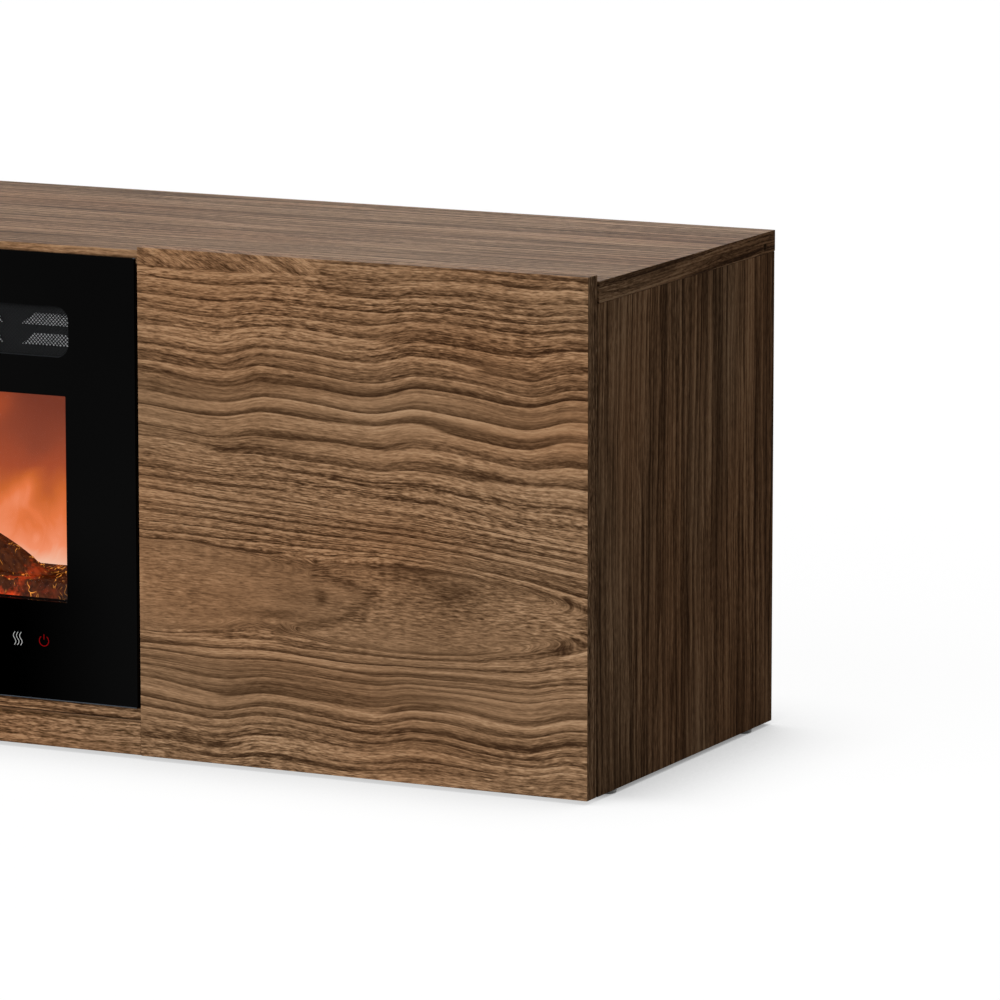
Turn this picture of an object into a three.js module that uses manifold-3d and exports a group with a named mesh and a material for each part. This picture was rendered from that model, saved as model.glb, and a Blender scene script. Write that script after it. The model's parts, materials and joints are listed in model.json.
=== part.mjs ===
// Fireplace TV stand: a low cabinet with two doors that open by a push, and an
// electric fireplace insert in its middle bay. Lengths are in millimetres.
// +X is to the right, +Y to the back and +Z up, and the floor is at z = 0.

import * as THREE from 'three';
import { mergeVertices } from 'three/addons/utils/BufferGeometryUtils.js';
import manifoldModule from 'manifold-3d';

const wasm = await manifoldModule();
wasm.setup();

// Cabinet boards
const overallWidth = 1524;
const carcassDepth = 390;
const carcassHeight = 473.5;
const topThickness = 20;
const boardThickness = 19;
const topOverhang = 0.5;
const bottomRise = 23;
const innerSetback = 7;
const backPanelThickness = 4;
const backPanelLap = 9;
const glideHeight = 4;
const seam = 0.3;

// Doors, closed, stand in front of the boards and a little above the top
const doorThickness = 19;
const doorGap = 2;
const doorLip = 6;
const doorEdgeInset = 0.5;

// Fascia board under the fireplace
const fasciaHeight = 31.5;
const fasciaEndGap = 1;

// Fixed shelves behind the doors
const shelfThickness = 16;
const shelfFrontSetback = 14;
const shelfUndersideZ = 243;

// Plug holes in the ends of the top
const plugHoleRadius = 3.6;
const plugHoleDepth = 10;
const plugFromBack = 23.4;
const plugRise = 6.2;

// Floor glides
const glideRadius = 9;
const glideFootRadius = 7.5;
const glideEndInset = 40;

// Cable holes in the back panels
const cableHoleRadius = 30;
const cableHoleRise = 110;

// Concealed hinges, placed by the share of the door's height from each end
const lowerHingeShare = 0.2;
const upperHingeShare = 0.8;
const cupRadius = 17.5;
const cupWall = 1.5;
const cupDepth = 11.5;
const cupFromEdge = 22.5;
const cupFlangeThickness = 1;
const cupFlangeHalfHeight = 26;
const cupFlangeHalfWidth = 12;
const plateFromFront = 37;
const plateWingHalfHeight = 26;
const plateWingHalfDepth = 6;
const plateWingThickness = 3;
const plateBodyHalfHeight = 8;
const plateBodyHalfDepth = 20;
const plateBodyThickness = 8;
const armThickness = 5;
const armHalfHeight = 7;
const armLength = 60;
const armNoseDepth = 7;

// Push latches
const latchWidth = 16;
const latchHeight = 14;
const latchDepth = 70;
const latchFromDivider = 20;
const latchFrontSetback = 1;
const plungerRadius = 4;
const plungerLength = 45;
const plungerTravel = 2;
const strikeThickness = 1;
const strikeHalfSize = 11;

// Fireplace glass and the frame behind it
const glassWidth = 586;
const glassSetback = 6;
const glassThickness = 4;
const glassSideGap = 6.5;
const glassTopDrop = 5.5;
const frameTopDrop = 7;
const glassFootGap = 1.2;
const glassLap = 6.5;
const glassCornerRadius = 2;
const windowSideMargin = 74.3;
const windowTopMargin = 134.6;
const windowBottomMargin = 94.2;
const ventSideMargin = 70.4;
const ventTopMargin = 50.3;
const ventHeight = 48;
const ventCornerRadius = 13;
const ventRebate = 4;

// Vent mesh and the louvres behind it
const meshThickness = 1;
const meshBar = 1.8;
const meshColumns = 26;
const meshRows = 3;
const louvrePlateThickness = 1.2;
const louvrePlateMargin = 12;
const slatLength = 58;
const slatGap = 21;
const slatHeight = 10;
const slatPitch = 19;
const slatDepth = 7;
const slatThickness = 1.2;
const slatRows = 2;

// Insert housing
const housingDepth = 200;
const housingSideGap = 3.5;
const housingTopGap = 4;
const sheet = 1.5;
const intakeSideMargin = 54;
const intakeRows = 2;
const intakeWidth = 26;
const intakeHeight = 6;
const intakePitchX = 38;
const intakePitchZ = 22;
const intakeDrop = 60;

// Fire chamber, seen through the glass
const linerWall = 2;
const linerDepth = 94;
const linerSideRoom = 34;
const linerTopRoom = 8;
const linerBottomRoom = 24;
const screenThickness = 3;
const bedHeight = 35.5;
const bedLedgeDepth = 12;
const bedToeHeight = 14;
const bedSideGap = 1;
const logRadius = 17;
const logTopRadius = 14;
const logSideRoom = 48.7;
const logFromFront = 44;
const logSpacing = 30;
const logRise = 24;
const logSides = 10;
const logRings = 9;

// Flicker rotor and lights behind the screen
const rotorFromScreen = 26;
const rotorHeight = 44;
const rotorRodRadius = 2.5;
const rotorRodOverhang = 22;
const flapLength = 26;
const flapReach = 14;
const flapThickness = 1;
const flapCount = 14;
const flapTwistShare = 0.19;
const bearingThickness = 2;
const cradleHalfWidth = 14;
const bearingRise = 12;
const bearingSideRoom = 55;
const rotorMotorRadius = 18;
const rotorMotorLength = 18;
const ledBoardEndRoom = 14;
const ledBoardWidth = 24;
const boardSheet = 1.6;
const standoff = 6;
const standoffRadius = 3;
const ledRadius = 2.5;
const ledRise = 4;
const ledCount = 9;

// Heater
const blowerSideRoom = 107;
const blowerFromFront = 40;
const blowerTailLength = 12;
const hangerFromEnd = 28;
const hangerWidth = 18;
const blowerWall = 2;
const wheelRadius = 28;
const wheelRoom = 3;
const wheelBladeCount = 14;
const wheelBladeDepth = 7;
const wheelBladeThickness = 1.2;
const wheelDiscThickness = 2;
const wheelDiscCount = 4;
const shaftRadius = 3;
const ductHeight = 40;
const blowerMotorRadius = 24;
const blowerMotorLength = 46;
const heaterEndRoom = 26;
const heaterDepth = 14;
const heaterBarHeight = 5;
const heaterFinThickness = 1.5;
const heaterFinCount = 16;

// Control and power electronics
const touchBoardLength = 152;
const touchBoardHeight = 26;
const touchBoardRise = 44;
const touchBoardFromEdge = 26;
const powerBoardLength = 96;
const powerBoardDepth = 66;
const powerBoardFromSide = 22;
const powerBoardFromFront = 20;
const relaySize = 16;
const relayFromEnd = 19;
const transformerSize = 30;
const transformerFromEnd = 48;
const powerPartsFromEdge = 16;

// Power inlet on the back of the housing
const inletFromSide = 63;
const inletRise = 60;
const inletHalfWidth = 14;
const inletHalfHeight = 10;
const inletFlange = 6;
const inletFlangeThickness = 2;
const inletBodyDepth = 22;
const socketWall = 2;
const socketDepth = 17;
const inletPinRadius = 1.4;
const inletPinPitch = 6;
const inletPinLength = 13;

// Brackets that hold the housing between the dividers
const bracketThickness = 1.5;
const bracketLeg = 26;
const bracketHeight = 60;
const bracketRise = 150;

// Opening in the middle back panel
const accessSideMargin = 46;
const accessTopMargin = 40;
const accessBottomMargin = 60;

// Numbers of sides on round work, and the overrun of every cut
const fineSides = 24;
const roundSides = 12;
const smallSides = 8;
const cornerSteps = 3;
const overrun = 1;

// Places that follow from the sizes above
const overallDepth = doorThickness + doorGap + carcassDepth;
const frontY = -overallDepth / 2;
const doorBackY = frontY + doorThickness;
const carcassFrontY = doorBackY + doorGap;
const backY = overallDepth / 2;
const innerBackY = backY - innerSetback;
const undersideZ = glideHeight;
const topZ = undersideZ + carcassHeight;
const topUndersideZ = topZ - topThickness;
const bottomUndersideZ = undersideZ + bottomRise;
const bottomTopZ = bottomUndersideZ + boardThickness;
const sideOuterX = overallWidth / 2 - topOverhang;
const sideInnerX = sideOuterX - boardThickness;
const doorOuterX = sideOuterX - doorEdgeInset;
const doorHeight = carcassHeight + doorLip;
const glassHalfWidth = glassWidth / 2;
const doorInnerX = glassHalfWidth + glassSideGap;
const dividerInnerX = glassHalfWidth - glassLap;
const dividerOuterX = dividerInnerX + boardThickness;

const glassFrontY = frontY + glassSetback;
const glassBackY = glassFrontY + glassThickness;
const glassLowZ = bottomTopZ + glassFootGap;
const glassHighZ = topZ - glassTopDrop;
const windowHalfWidth = glassHalfWidth - windowSideMargin;
const windowLowZ = glassLowZ + windowBottomMargin;
const windowHighZ = glassHighZ - windowTopMargin;
const ventHalfWidth = glassHalfWidth - ventSideMargin;
const ventHighZ = glassHighZ - ventTopMargin;
const ventLowZ = ventHighZ - ventHeight;
const ventMidZ = (ventLowZ + ventHighZ) / 2;

const insertFrontY = carcassFrontY;
const insertBackY = insertFrontY + housingDepth;
const housingHalfWidth = dividerInnerX - housingSideGap;
const housingLowZ = bottomTopZ + seam;
const housingHighZ = topUndersideZ - housingTopGap;
const housingFloorZ = housingLowZ + sheet;
const linerHalfWidth = windowHalfWidth + linerSideRoom;
const linerLowZ = windowLowZ - linerBottomRoom;
const linerHighZ = windowHighZ + linerTopRoom;
const linerBackY = insertFrontY + seam + linerDepth;
const screenBackY = linerBackY + seam + screenThickness;
const bedTopZ = linerLowZ + linerWall + seam + bedHeight;
const logHalfSpan = windowHalfWidth - logSideRoom;
const bearingSpan = housingHalfWidth - bearingSideRoom;
const rotorRodSpan = bearingSpan + rotorRodOverhang;
const rotorY = screenBackY + rotorFromScreen;
const rotorZ = housingFloorZ + rotorHeight;
const blowerHalfLength = housingHalfWidth - blowerSideRoom;
const wheelY = insertFrontY + blowerFromFront + wheelRadius + wheelRoom + blowerWall;

const hands = { left: -1, right: 1 };

const finishes = {
  walnut: { color: 0x86663f, roughness: 0.6, metalness: 0 },
  walnutDark: { color: 0x4a3424, roughness: 0.65, metalness: 0 },
  hardboard: { color: 0x6b5138, roughness: 0.85, metalness: 0 },
  steel: { color: 0xb4b6b8, roughness: 0.35, metalness: 1 },
  blackSteel: { color: 0x17181a, roughness: 0.55, metalness: 0.4 },
  blackPlastic: { color: 0x121212, roughness: 0.5, metalness: 0 },
  greyPlastic: { color: 0x75787b, roughness: 0.5, metalness: 0 },
  glass: { color: 0x0b0c0c, roughness: 0.06, metalness: 0, transparent: true, opacity: 0.4 },
  flame: { color: 0xd9743a, roughness: 0.5, metalness: 0 },
  ember: { color: 0x8a2412, roughness: 0.7, metalness: 0 },
  log: { color: 0x3a2b22, roughness: 0.85, metalness: 0 },
  circuit: { color: 0x1f4a33, roughness: 0.5, metalness: 0 },
};

const part = new THREE.Group();

// Making, placing and cutting solids

/** Turns a closed three.js geometry into a solid that can be cut and joined. */
function solid(geometry) {
  geometry.deleteAttribute('normal');
  geometry.deleteAttribute('uv');
  const welded = mergeVertices(geometry);
  const corners = welded.index.array;
  const triangles = [];
  for (let i = 0; i < corners.length; i += 3) {
    const [a, b, c] = corners.slice(i, i + 3);
    if (a !== b && b !== c && c !== a) triangles.push(a, b, c);
  }
  return new wasm.Manifold(new wasm.Mesh({
    numProp: 3,
    vertProperties: new Float32Array(welded.attributes.position.array),
    triVerts: new Uint32Array(triangles),
  }));
}

/** A rectangular block between any two opposite corners. */
function block(cornerA, cornerB) {
  const size = cornerA.map((a, i) => Math.abs(cornerB[i] - a));
  const middle = cornerA.map((a, i) => (a + cornerB[i]) / 2);
  return solid(new THREE.BoxGeometry(...size).translate(...middle));
}

/** A round bar from the point start, of a signed length along the named axis. */
function rod(axis, start, length, radius, sides = roundSides) {
  const shape = new THREE.CylinderGeometry(radius, radius, Math.abs(length), sides);
  if (axis === 'x') shape.rotateZ(-Math.PI / 2);
  if (axis === 'z') shape.rotateX(Math.PI / 2);
  const middle = [...start];
  middle['xyz'.indexOf(axis)] += length / 2;
  return solid(shape.translate(...middle));
}

/** A plate that faces the front: an outline in x and z, with a thickness along y. */
function plate(outline, nearY, thickness) {
  const shape = new THREE.ExtrudeGeometry(outline, {
    depth: thickness,
    bevelEnabled: false,
    curveSegments: cornerSteps,
  });
  return solid(shape.rotateX(Math.PI / 2).translate(0, nearY + thickness, 0));
}

/** A bar along x whose section is a list of [y, z] points. */
function barAlongX(section, fromX, toX) {
  const outline = new THREE.Shape(section.map(([y, z]) => new THREE.Vector2(y, z)));
  const shape = new THREE.ExtrudeGeometry(outline, { depth: toX - fromX, bevelEnabled: false });
  const turn = new THREE.Matrix4().makeBasis(
    new THREE.Vector3(0, 1, 0), new THREE.Vector3(0, 0, 1), new THREE.Vector3(1, 0, 0));
  return solid(shape.applyMatrix4(turn).translate(fromX, 0, 0));
}

/** A rectangle with round corners, in x and z. */
function roundedRectangle(halfWidth, lowZ, highZ, radius) {
  const outline = new THREE.Shape();
  outline.absarc(halfWidth - radius, lowZ + radius, radius, -Math.PI / 2, 0);
  outline.absarc(halfWidth - radius, highZ - radius, radius, 0, Math.PI / 2);
  outline.absarc(-halfWidth + radius, highZ - radius, radius, Math.PI / 2, Math.PI);
  outline.absarc(-halfWidth + radius, lowZ + radius, radius, Math.PI, Math.PI * 3 / 2);
  return outline;
}

/** Joins a list of solids into one. */
function joined(solids) {
  return wasm.Manifold.union(solids);
}

/** Adds a solid to the part as a named mesh with its own material. */
function add(name, shape, finish) {
  const { vertProperties, triVerts } = shape.getMesh();
  const geometry = new THREE.BufferGeometry();
  geometry.setAttribute('position', new THREE.BufferAttribute(vertProperties, 3));
  geometry.setIndex(new THREE.BufferAttribute(triVerts, 1));
  const material = new THREE.MeshStandardMaterial({ ...finishes[finish], flatShading: true });
  const mesh = new THREE.Mesh(geometry, material);
  mesh.name = name;
  part.add(mesh);
}

/** A range of whole numbers from zero. */
function counting(count) {
  return Array.from({ length: count }, (_, i) => i);
}

// Boards

/** The top, which lies over the sides and dividers. */
function topPanel() {
  const half = overallWidth / 2;
  const holes = Object.values(hands).map((hand) => rod(
    'x', [hand * (half + overrun), backY - plugFromBack, topUndersideZ + plugRise],
    -hand * (plugHoleDepth + overrun), plugHoleRadius));
  return block([-half, carcassFrontY, topUndersideZ], [half, backY, topZ]).subtract(joined(holes));
}

/** The bottom, between the sides. */
function bottomPanel() {
  const half = sideInnerX - seam;
  return block([-half, carcassFrontY, bottomUndersideZ], [half, innerBackY, bottomTopZ]);
}

/** A side, from the glides to the underside of the top. */
function sidePanel(hand) {
  return block(
    [hand * sideInnerX, carcassFrontY, undersideZ],
    [hand * sideOuterX, backY, topUndersideZ - seam]);
}

/** An upright board beside the fireplace. */
function divider(hand) {
  return block(
    [hand * dividerInnerX, carcassFrontY, bottomTopZ + seam],
    [hand * dividerOuterX, innerBackY, topUndersideZ - seam]);
}

/** A long rail under the bottom board, with its outer face at nearY. */
function plinthRail(nearY) {
  const half = sideInnerX - seam;
  return block(
    [-half, nearY, undersideZ], [half, nearY + boardThickness, bottomUndersideZ - seam]);
}

/** A cross piece between the plinth rails, under a divider. */
function plinthStay(hand) {
  return block(
    [hand * dividerInnerX, carcassFrontY + boardThickness + seam, undersideZ],
    [hand * dividerOuterX, innerBackY - boardThickness - seam, bottomUndersideZ - seam]);
}

/** The low board between the doors, in front of the plinth. */
function fasciaRail() {
  const half = doorInnerX - fasciaEndGap;
  return block(
    [-half, carcassFrontY - seam - doorThickness, undersideZ],
    [half, carcassFrontY - seam, undersideZ + fasciaHeight]);
}

const backPanelLowZ = bottomTopZ - backPanelLap;
const backPanelHighZ = topUndersideZ - seam;
const backPanelSplitX = dividerInnerX + boardThickness / 2;
const cableHoleX = (sideInnerX + dividerOuterX) / 2;
const cableHoleZ = bottomTopZ + cableHoleRise;

/** The thin back of a door compartment, with a round cable hole. */
function sideBackPanel(hand) {
  const panel = block(
    [hand * (backPanelSplitX + seam), innerBackY + seam, backPanelLowZ],
    [hand * (sideInnerX - seam), innerBackY + seam + backPanelThickness, backPanelHighZ]);
  const holeStart = [hand * cableHoleX, innerBackY - overrun, cableHoleZ];
  const holeLength = backPanelThickness + seam + overrun * 2;
  return panel.subtract(rod('y', holeStart, holeLength, cableHoleRadius, fineSides));
}

const accessHalfWidth = dividerInnerX - accessSideMargin;
const accessLowZ = bottomTopZ + accessBottomMargin;
const accessHighZ = topUndersideZ - accessTopMargin;

/** The thin back of the middle bay, cut out behind the fireplace. */
function centreBackPanel() {
  const panel = block(
    [-backPanelSplitX, innerBackY + seam, backPanelLowZ],
    [backPanelSplitX, innerBackY + seam + backPanelThickness, backPanelHighZ]);
  return panel.subtract(block(
    [-accessHalfWidth, innerBackY - overrun, accessLowZ],
    [accessHalfWidth, backY + overrun, accessHighZ]));
}

/** A shelf behind a door, fixed between the divider and the side. */
function shelf(hand) {
  return block(
    [hand * (dividerOuterX + seam), carcassFrontY + shelfFrontSetback, shelfUndersideZ],
    [hand * (sideInnerX - seam), innerBackY, shelfUndersideZ + shelfThickness]);
}

/** A nail-on glide: a round foot with a bevelled edge, flat on the floor. */
function glide(x, y) {
  const top = undersideZ - seam;
  const bevel = glideRadius - glideFootRadius;
  const profile = [[0, 0], [glideFootRadius, 0], [glideRadius, bevel], [glideRadius, top], [0, top]];
  const shape = new THREE.LatheGeometry(
    profile.map(([radius, height]) => new THREE.Vector2(radius, height)), roundSides);
  return solid(shape.rotateX(Math.PI / 2).translate(x, y, 0));
}

const sideGlideX = sideInnerX + boardThickness / 2;
const glideMiddleY = (carcassFrontY + innerBackY) / 2;

add('top_panel', topPanel(), 'walnut');
add('bottom_panel', bottomPanel(), 'walnut');
add('front_plinth_rail', plinthRail(carcassFrontY), 'walnutDark');
add('rear_plinth_rail', plinthRail(innerBackY - boardThickness), 'walnutDark');
add('fascia_rail', fasciaRail(), 'walnut');
add('centre_back_panel', centreBackPanel(), 'hardboard');
for (const [side, hand] of Object.entries(hands)) {
  add(`${side}_side_panel`, sidePanel(hand), 'walnutDark');
  add(`${side}_divider`, divider(hand), 'walnut');
  add(`${side}_back_panel`, sideBackPanel(hand), 'hardboard');
  add(`${side}_shelf`, shelf(hand), 'walnut');
  add(`${side}_plinth_stay`, plinthStay(hand), 'walnutDark');
  add(`${side}_front_glide`, glide(hand * sideGlideX, carcassFrontY + glideEndInset), 'blackPlastic');
  add(`${side}_rear_glide`, glide(hand * sideGlideX, innerBackY - glideEndInset), 'blackPlastic');
  add(`${side}_middle_glide`, glide(hand * backPanelSplitX, glideMiddleY), 'blackPlastic');
}

// Doors with their concealed hinges and push latches

const hingeHeights = {
  lower: undersideZ + lowerHingeShare * doorHeight,
  upper: undersideZ + upperHingeShare * doorHeight,
};
const cupX = doorOuterX - cupFromEdge;
const latchX = dividerOuterX + latchFromDivider;
const latchZ = topUndersideZ - seam - latchHeight / 2;
const strikeBackY = doorBackY + seam + strikeThickness;

/** A door board, bored at the back for its hinge cups. */
function doorPanel(hand) {
  const panel = block(
    [hand * doorInnerX, frontY, undersideZ],
    [hand * doorOuterX, doorBackY, undersideZ + doorHeight]);
  const bores = Object.values(hingeHeights).map((z) => rod(
    'y', [hand * cupX, doorBackY + overrun, z], -(cupDepth + seam + overrun), cupRadius + seam, fineSides));
  return panel.subtract(joined(bores));
}

/** A hinge cup with its flange on the door's back face. */
function hingeCup(hand, z) {
  const flangeY = doorBackY + seam;
  const flange = block(
    [hand * cupX - cupFlangeHalfWidth, flangeY, z - cupFlangeHalfHeight],
    [hand * cupX + cupFlangeHalfWidth, flangeY + cupFlangeThickness, z + cupFlangeHalfHeight]);
  const mouthY = flangeY + cupFlangeThickness;
  const rim = rod('y', [hand * cupX, flangeY, z], cupFlangeThickness, cupRadius, fineSides);
  const depth = cupDepth + seam + cupFlangeThickness;
  const body = rod('y', [hand * cupX, mouthY, z], -depth, cupRadius, fineSides);
  const hollow = rod(
    'y', [hand * cupX, mouthY + overrun, z], cupWall - depth - overrun, cupRadius - cupWall, fineSides);
  return flange.add(rim).add(body).subtract(hollow);
}

/** The fixed half of a hinge: a winged plate on the side, and an arm with its nose in the cup. */
function hingeArm(hand, z) {
  const faceX = hand * (sideInnerX - seam);
  const middleY = carcassFrontY + plateFromFront;
  const wing = block(
    [faceX, middleY - plateWingHalfDepth, z - plateWingHalfHeight],
    [faceX - hand * plateWingThickness, middleY + plateWingHalfDepth, z + plateWingHalfHeight]);
  const body = block(
    [faceX, middleY - plateBodyHalfDepth, z - plateBodyHalfHeight],
    [faceX - hand * plateBodyThickness, middleY + plateBodyHalfDepth, z + plateBodyHalfHeight]);
  const arm = block(
    [faceX - hand * (plateBodyThickness - seam), doorBackY - armNoseDepth, z - armHalfHeight],
    [faceX - hand * (plateBodyThickness + armThickness), carcassFrontY + armLength, z + armHalfHeight]);
  return joined([wing, body, arm]);
}

/** The body of a push latch, bored for its plunger. */
function latchBody(hand) {
  const nearY = carcassFrontY + latchFrontSetback;
  const body = block(
    [hand * latchX - latchWidth / 2, nearY, latchZ - latchHeight / 2],
    [hand * latchX + latchWidth / 2, nearY + latchDepth, latchZ + latchHeight / 2]);
  const boreDepth = strikeBackY + seam + plungerLength + plungerTravel + seam - nearY;
  return body.subtract(rod(
    'y', [hand * latchX, nearY - overrun, latchZ], boreDepth + overrun, plungerRadius + seam));
}

/** The sprung plunger that meets the strike plate. */
function latchPlunger(hand) {
  return rod('y', [hand * latchX, strikeBackY + seam, latchZ], plungerLength, plungerRadius);
}

/** The small steel plate on the door that the latch holds. */
function strikePlate(hand) {
  return block(
    [hand * latchX - strikeHalfSize, doorBackY + seam, latchZ - strikeHalfSize],
    [hand * latchX + strikeHalfSize, strikeBackY, latchZ + strikeHalfSize]);
}

for (const [side, hand] of Object.entries(hands)) {
  add(`${side}_door_panel`, doorPanel(hand), 'walnut');
  for (const [level, z] of Object.entries(hingeHeights)) {
    add(`${side}_${level}_hinge_cup`, hingeCup(hand, z), 'steel');
    add(`${side}_${level}_hinge_arm`, hingeArm(hand, z), 'steel');
  }
  add(`${side}_latch_body`, latchBody(hand), 'greyPlastic');
  add(`${side}_strike_plate`, strikePlate(hand), 'steel');
  add(`${side}_latch_plunger`, latchPlunger(hand), 'greyPlastic');
}

// Fireplace front: glass, frame, vent mesh and louvres

/** The glass, with its rounded slot for the warm air. */
function glassFront() {
  const outline = roundedRectangle(glassHalfWidth, glassLowZ, glassHighZ, glassCornerRadius);
  const slot = roundedRectangle(ventHalfWidth, ventLowZ, ventHighZ, ventCornerRadius);
  return plate(outline, glassFrontY, glassThickness)
    .subtract(plate(slot, glassFrontY - overrun, glassThickness + overrun * 2));
}

/** The frame behind the glass, lower than it at the top, and open at the window and the vent. */
function frontFrame() {
  const nearY = glassBackY + seam;
  const thickness = insertFrontY - seam - nearY;
  const outline = roundedRectangle(
    glassHalfWidth, glassLowZ, glassHighZ - frameTopDrop, glassCornerRadius);
  const window = roundedRectangle(windowHalfWidth, windowLowZ, windowHighZ, glassCornerRadius);
  const vent = roundedRectangle(
    ventHalfWidth + ventRebate, ventLowZ - ventRebate, ventHighZ + ventRebate,
    ventCornerRadius + ventRebate);
  return plate(outline, nearY, thickness)
    .subtract(plate(window, nearY - overrun, thickness + overrun * 2))
    .subtract(plate(vent, nearY - overrun, thickness + overrun * 2));
}

/** The mesh behind the slot, a rounded plate with rows of square gaps. */
function ventMesh() {
  const nearY = glassBackY + seam;
  const grow = ventRebate - seam;
  const halfWidth = ventHalfWidth + grow;
  const outline = roundedRectangle(
    halfWidth, ventLowZ - grow, ventHighZ + grow, ventCornerRadius + grow);
  const pitchX = (halfWidth - ventCornerRadius) * 2 / meshColumns;
  const pitchZ = ventHeight / meshRows;
  const gaps = counting(meshColumns).flatMap((column) => counting(meshRows).map((row) => {
    const x = (column - (meshColumns - 1) / 2) * pitchX;
    const z = ventMidZ + (row - (meshRows - 1) / 2) * pitchZ;
    return block(
      [x - (pitchX - meshBar) / 2, nearY - overrun, z - (pitchZ - meshBar) / 2],
      [x + (pitchX - meshBar) / 2, nearY + meshThickness + overrun, z + (pitchZ - meshBar) / 2]);
  }));
  return plate(outline, nearY, meshThickness).subtract(joined(gaps));
}

/** A louvre slat: it slopes down to the front, and its ends are cut at 45 degrees. */
function slat(middleX, lowZ) {
  const half = slatLength / 2;
  const outline = new THREE.Shape([
    new THREE.Vector2(-half, 0),
    new THREE.Vector2(half, 0),
    new THREE.Vector2(half - slatHeight, slatHeight),
    new THREE.Vector2(-half + slatHeight, slatHeight),
  ]);
  const blade = new THREE.ExtrudeGeometry(outline, { depth: slatThickness, bevelEnabled: false });
  const slope = new THREE.Matrix4().makeShear(0, 0, 0, 0, 0, slatDepth / slatHeight);
  return solid(blade
    .rotateX(Math.PI / 2)
    .applyMatrix4(slope)
    .translate(middleX, insertFrontY - slatDepth + slatThickness, lowZ));
}

/** A plate with two rows of sloping slats, on the back of the frame. */
function outletLouvres() {
  const halfWidth = ventHalfWidth + louvrePlateMargin;
  const slatColumns = Math.ceil(ventHalfWidth * 2 / (slatLength + slatGap));
  const farY = insertFrontY + louvrePlateThickness;
  const body = block(
    [-halfWidth, insertFrontY, ventLowZ - louvrePlateMargin],
    [halfWidth, farY, ventHighZ + louvrePlateMargin]);
  const gaps = [];
  const slats = [];
  for (const column of counting(slatColumns)) {
    const middleX = (column - (slatColumns - 1) / 2) * (slatLength + slatGap);
    const gapHalfWidth = slatLength / 2 - slatHeight;
    for (const row of counting(slatRows)) {
      const lowZ = ventMidZ + (row - (slatRows - 1) / 2) * slatPitch - slatHeight / 2;
      gaps.push(block(
        [middleX - gapHalfWidth, insertFrontY - overrun, lowZ],
        [middleX + gapHalfWidth, farY + overrun, lowZ + slatHeight - slatThickness]));
      slats.push(slat(middleX, lowZ));
    }
  }
  const outline = roundedRectangle(ventHalfWidth, ventLowZ, ventHighZ, ventCornerRadius);
  const seen = plate(outline, insertFrontY - slatDepth, slatDepth + louvrePlateThickness);
  return body.subtract(joined(gaps)).add(joined(slats).intersect(seen));
}

add('glass_front', glassFront(), 'glass');
add('front_frame', frontFrame(), 'blackPlastic');
add('vent_mesh', ventMesh(), 'blackSteel');
add('outlet_louvres', outletLouvres(), 'steel');

// Insert housing and its brackets

const bracketLowZ = housingLowZ + bracketRise;
const bracketOuterX = dividerInnerX - seam;
const bracketBackY = insertBackY + seam + bracketThickness;
const inletX = housingHalfWidth - inletFromSide;
const inletZ = housingLowZ + inletRise;

/** The sheet steel box of the insert, open at the front. */
function insertHousing() {
  const shell = block(
    [-housingHalfWidth, insertFrontY, housingLowZ], [housingHalfWidth, insertBackY, housingHighZ]);
  const hollow = block(
    [-housingHalfWidth + sheet, insertFrontY - overrun, housingFloorZ],
    [housingHalfWidth - sheet, insertBackY - sheet, housingHighZ - sheet]);
  const intakeColumns = Math.floor((housingHalfWidth - intakeSideMargin) * 2 / intakePitchX);
  const intakes = counting(intakeColumns).flatMap((column) => counting(intakeRows).map((row) => {
    const x = (column - (intakeColumns - 1) / 2) * intakePitchX;
    const z = housingHighZ - intakeDrop + (row - (intakeRows - 1) / 2) * intakePitchZ;
    return block(
      [x - intakeWidth / 2, insertBackY - sheet - overrun, z - intakeHeight / 2],
      [x + intakeWidth / 2, insertBackY + overrun, z + intakeHeight / 2]);
  }));
  const inletHole = block(
    [inletX - inletHalfWidth - seam, insertBackY - sheet - overrun, inletZ - inletHalfHeight - seam],
    [inletX + inletHalfWidth + seam, insertBackY + overrun, inletZ + inletHalfHeight + seam]);
  return shell
    .subtract(hollow)
    .subtract(joined(intakes))
    .subtract(inletHole);
}

/** The mains inlet: a flanged block through the housing, with a socket and pins. */
function powerInlet() {
  const flangeY = insertBackY + seam;
  const faceY = flangeY + inletFlangeThickness;
  const flange = block(
    [inletX - inletHalfWidth - inletFlange, flangeY, inletZ - inletHalfHeight - inletFlange],
    [inletX + inletHalfWidth + inletFlange, faceY, inletZ + inletHalfHeight + inletFlange]);
  const body = block(
    [inletX - inletHalfWidth, faceY - inletBodyDepth, inletZ - inletHalfHeight],
    [inletX + inletHalfWidth, faceY, inletZ + inletHalfHeight]);
  const socketHalfWidth = inletHalfWidth - socketWall;
  const socketHalfHeight = inletHalfHeight - socketWall;
  const socket = block(
    [inletX - socketHalfWidth, faceY - socketDepth, inletZ - socketHalfHeight],
    [inletX + socketHalfWidth, faceY + overrun, inletZ + socketHalfHeight]);
  const pinPlaces = [[-inletPinPitch, 0], [inletPinPitch, 0]];
  const contacts = pinPlaces.map(([x, z]) => rod(
    'y', [inletX + x, faceY - socketDepth - overrun, inletZ + z], inletPinLength + overrun,
    inletPinRadius, smallSides));
  return flange.add(body).subtract(socket).add(joined(contacts));
}

/** An angle bracket on a divider, behind the housing. */
function insertBracket(hand) {
  const outerX = hand * bracketOuterX;
  const sideLeg = block(
    [outerX, insertBackY + seam, bracketLowZ],
    [outerX - hand * bracketThickness, bracketBackY + bracketLeg, bracketLowZ + bracketHeight]);
  const rearLeg = block(
    [outerX, insertBackY + seam, bracketLowZ],
    [outerX - hand * bracketLeg, bracketBackY, bracketLowZ + bracketHeight]);
  return sideLeg.add(rearLeg);
}

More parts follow.
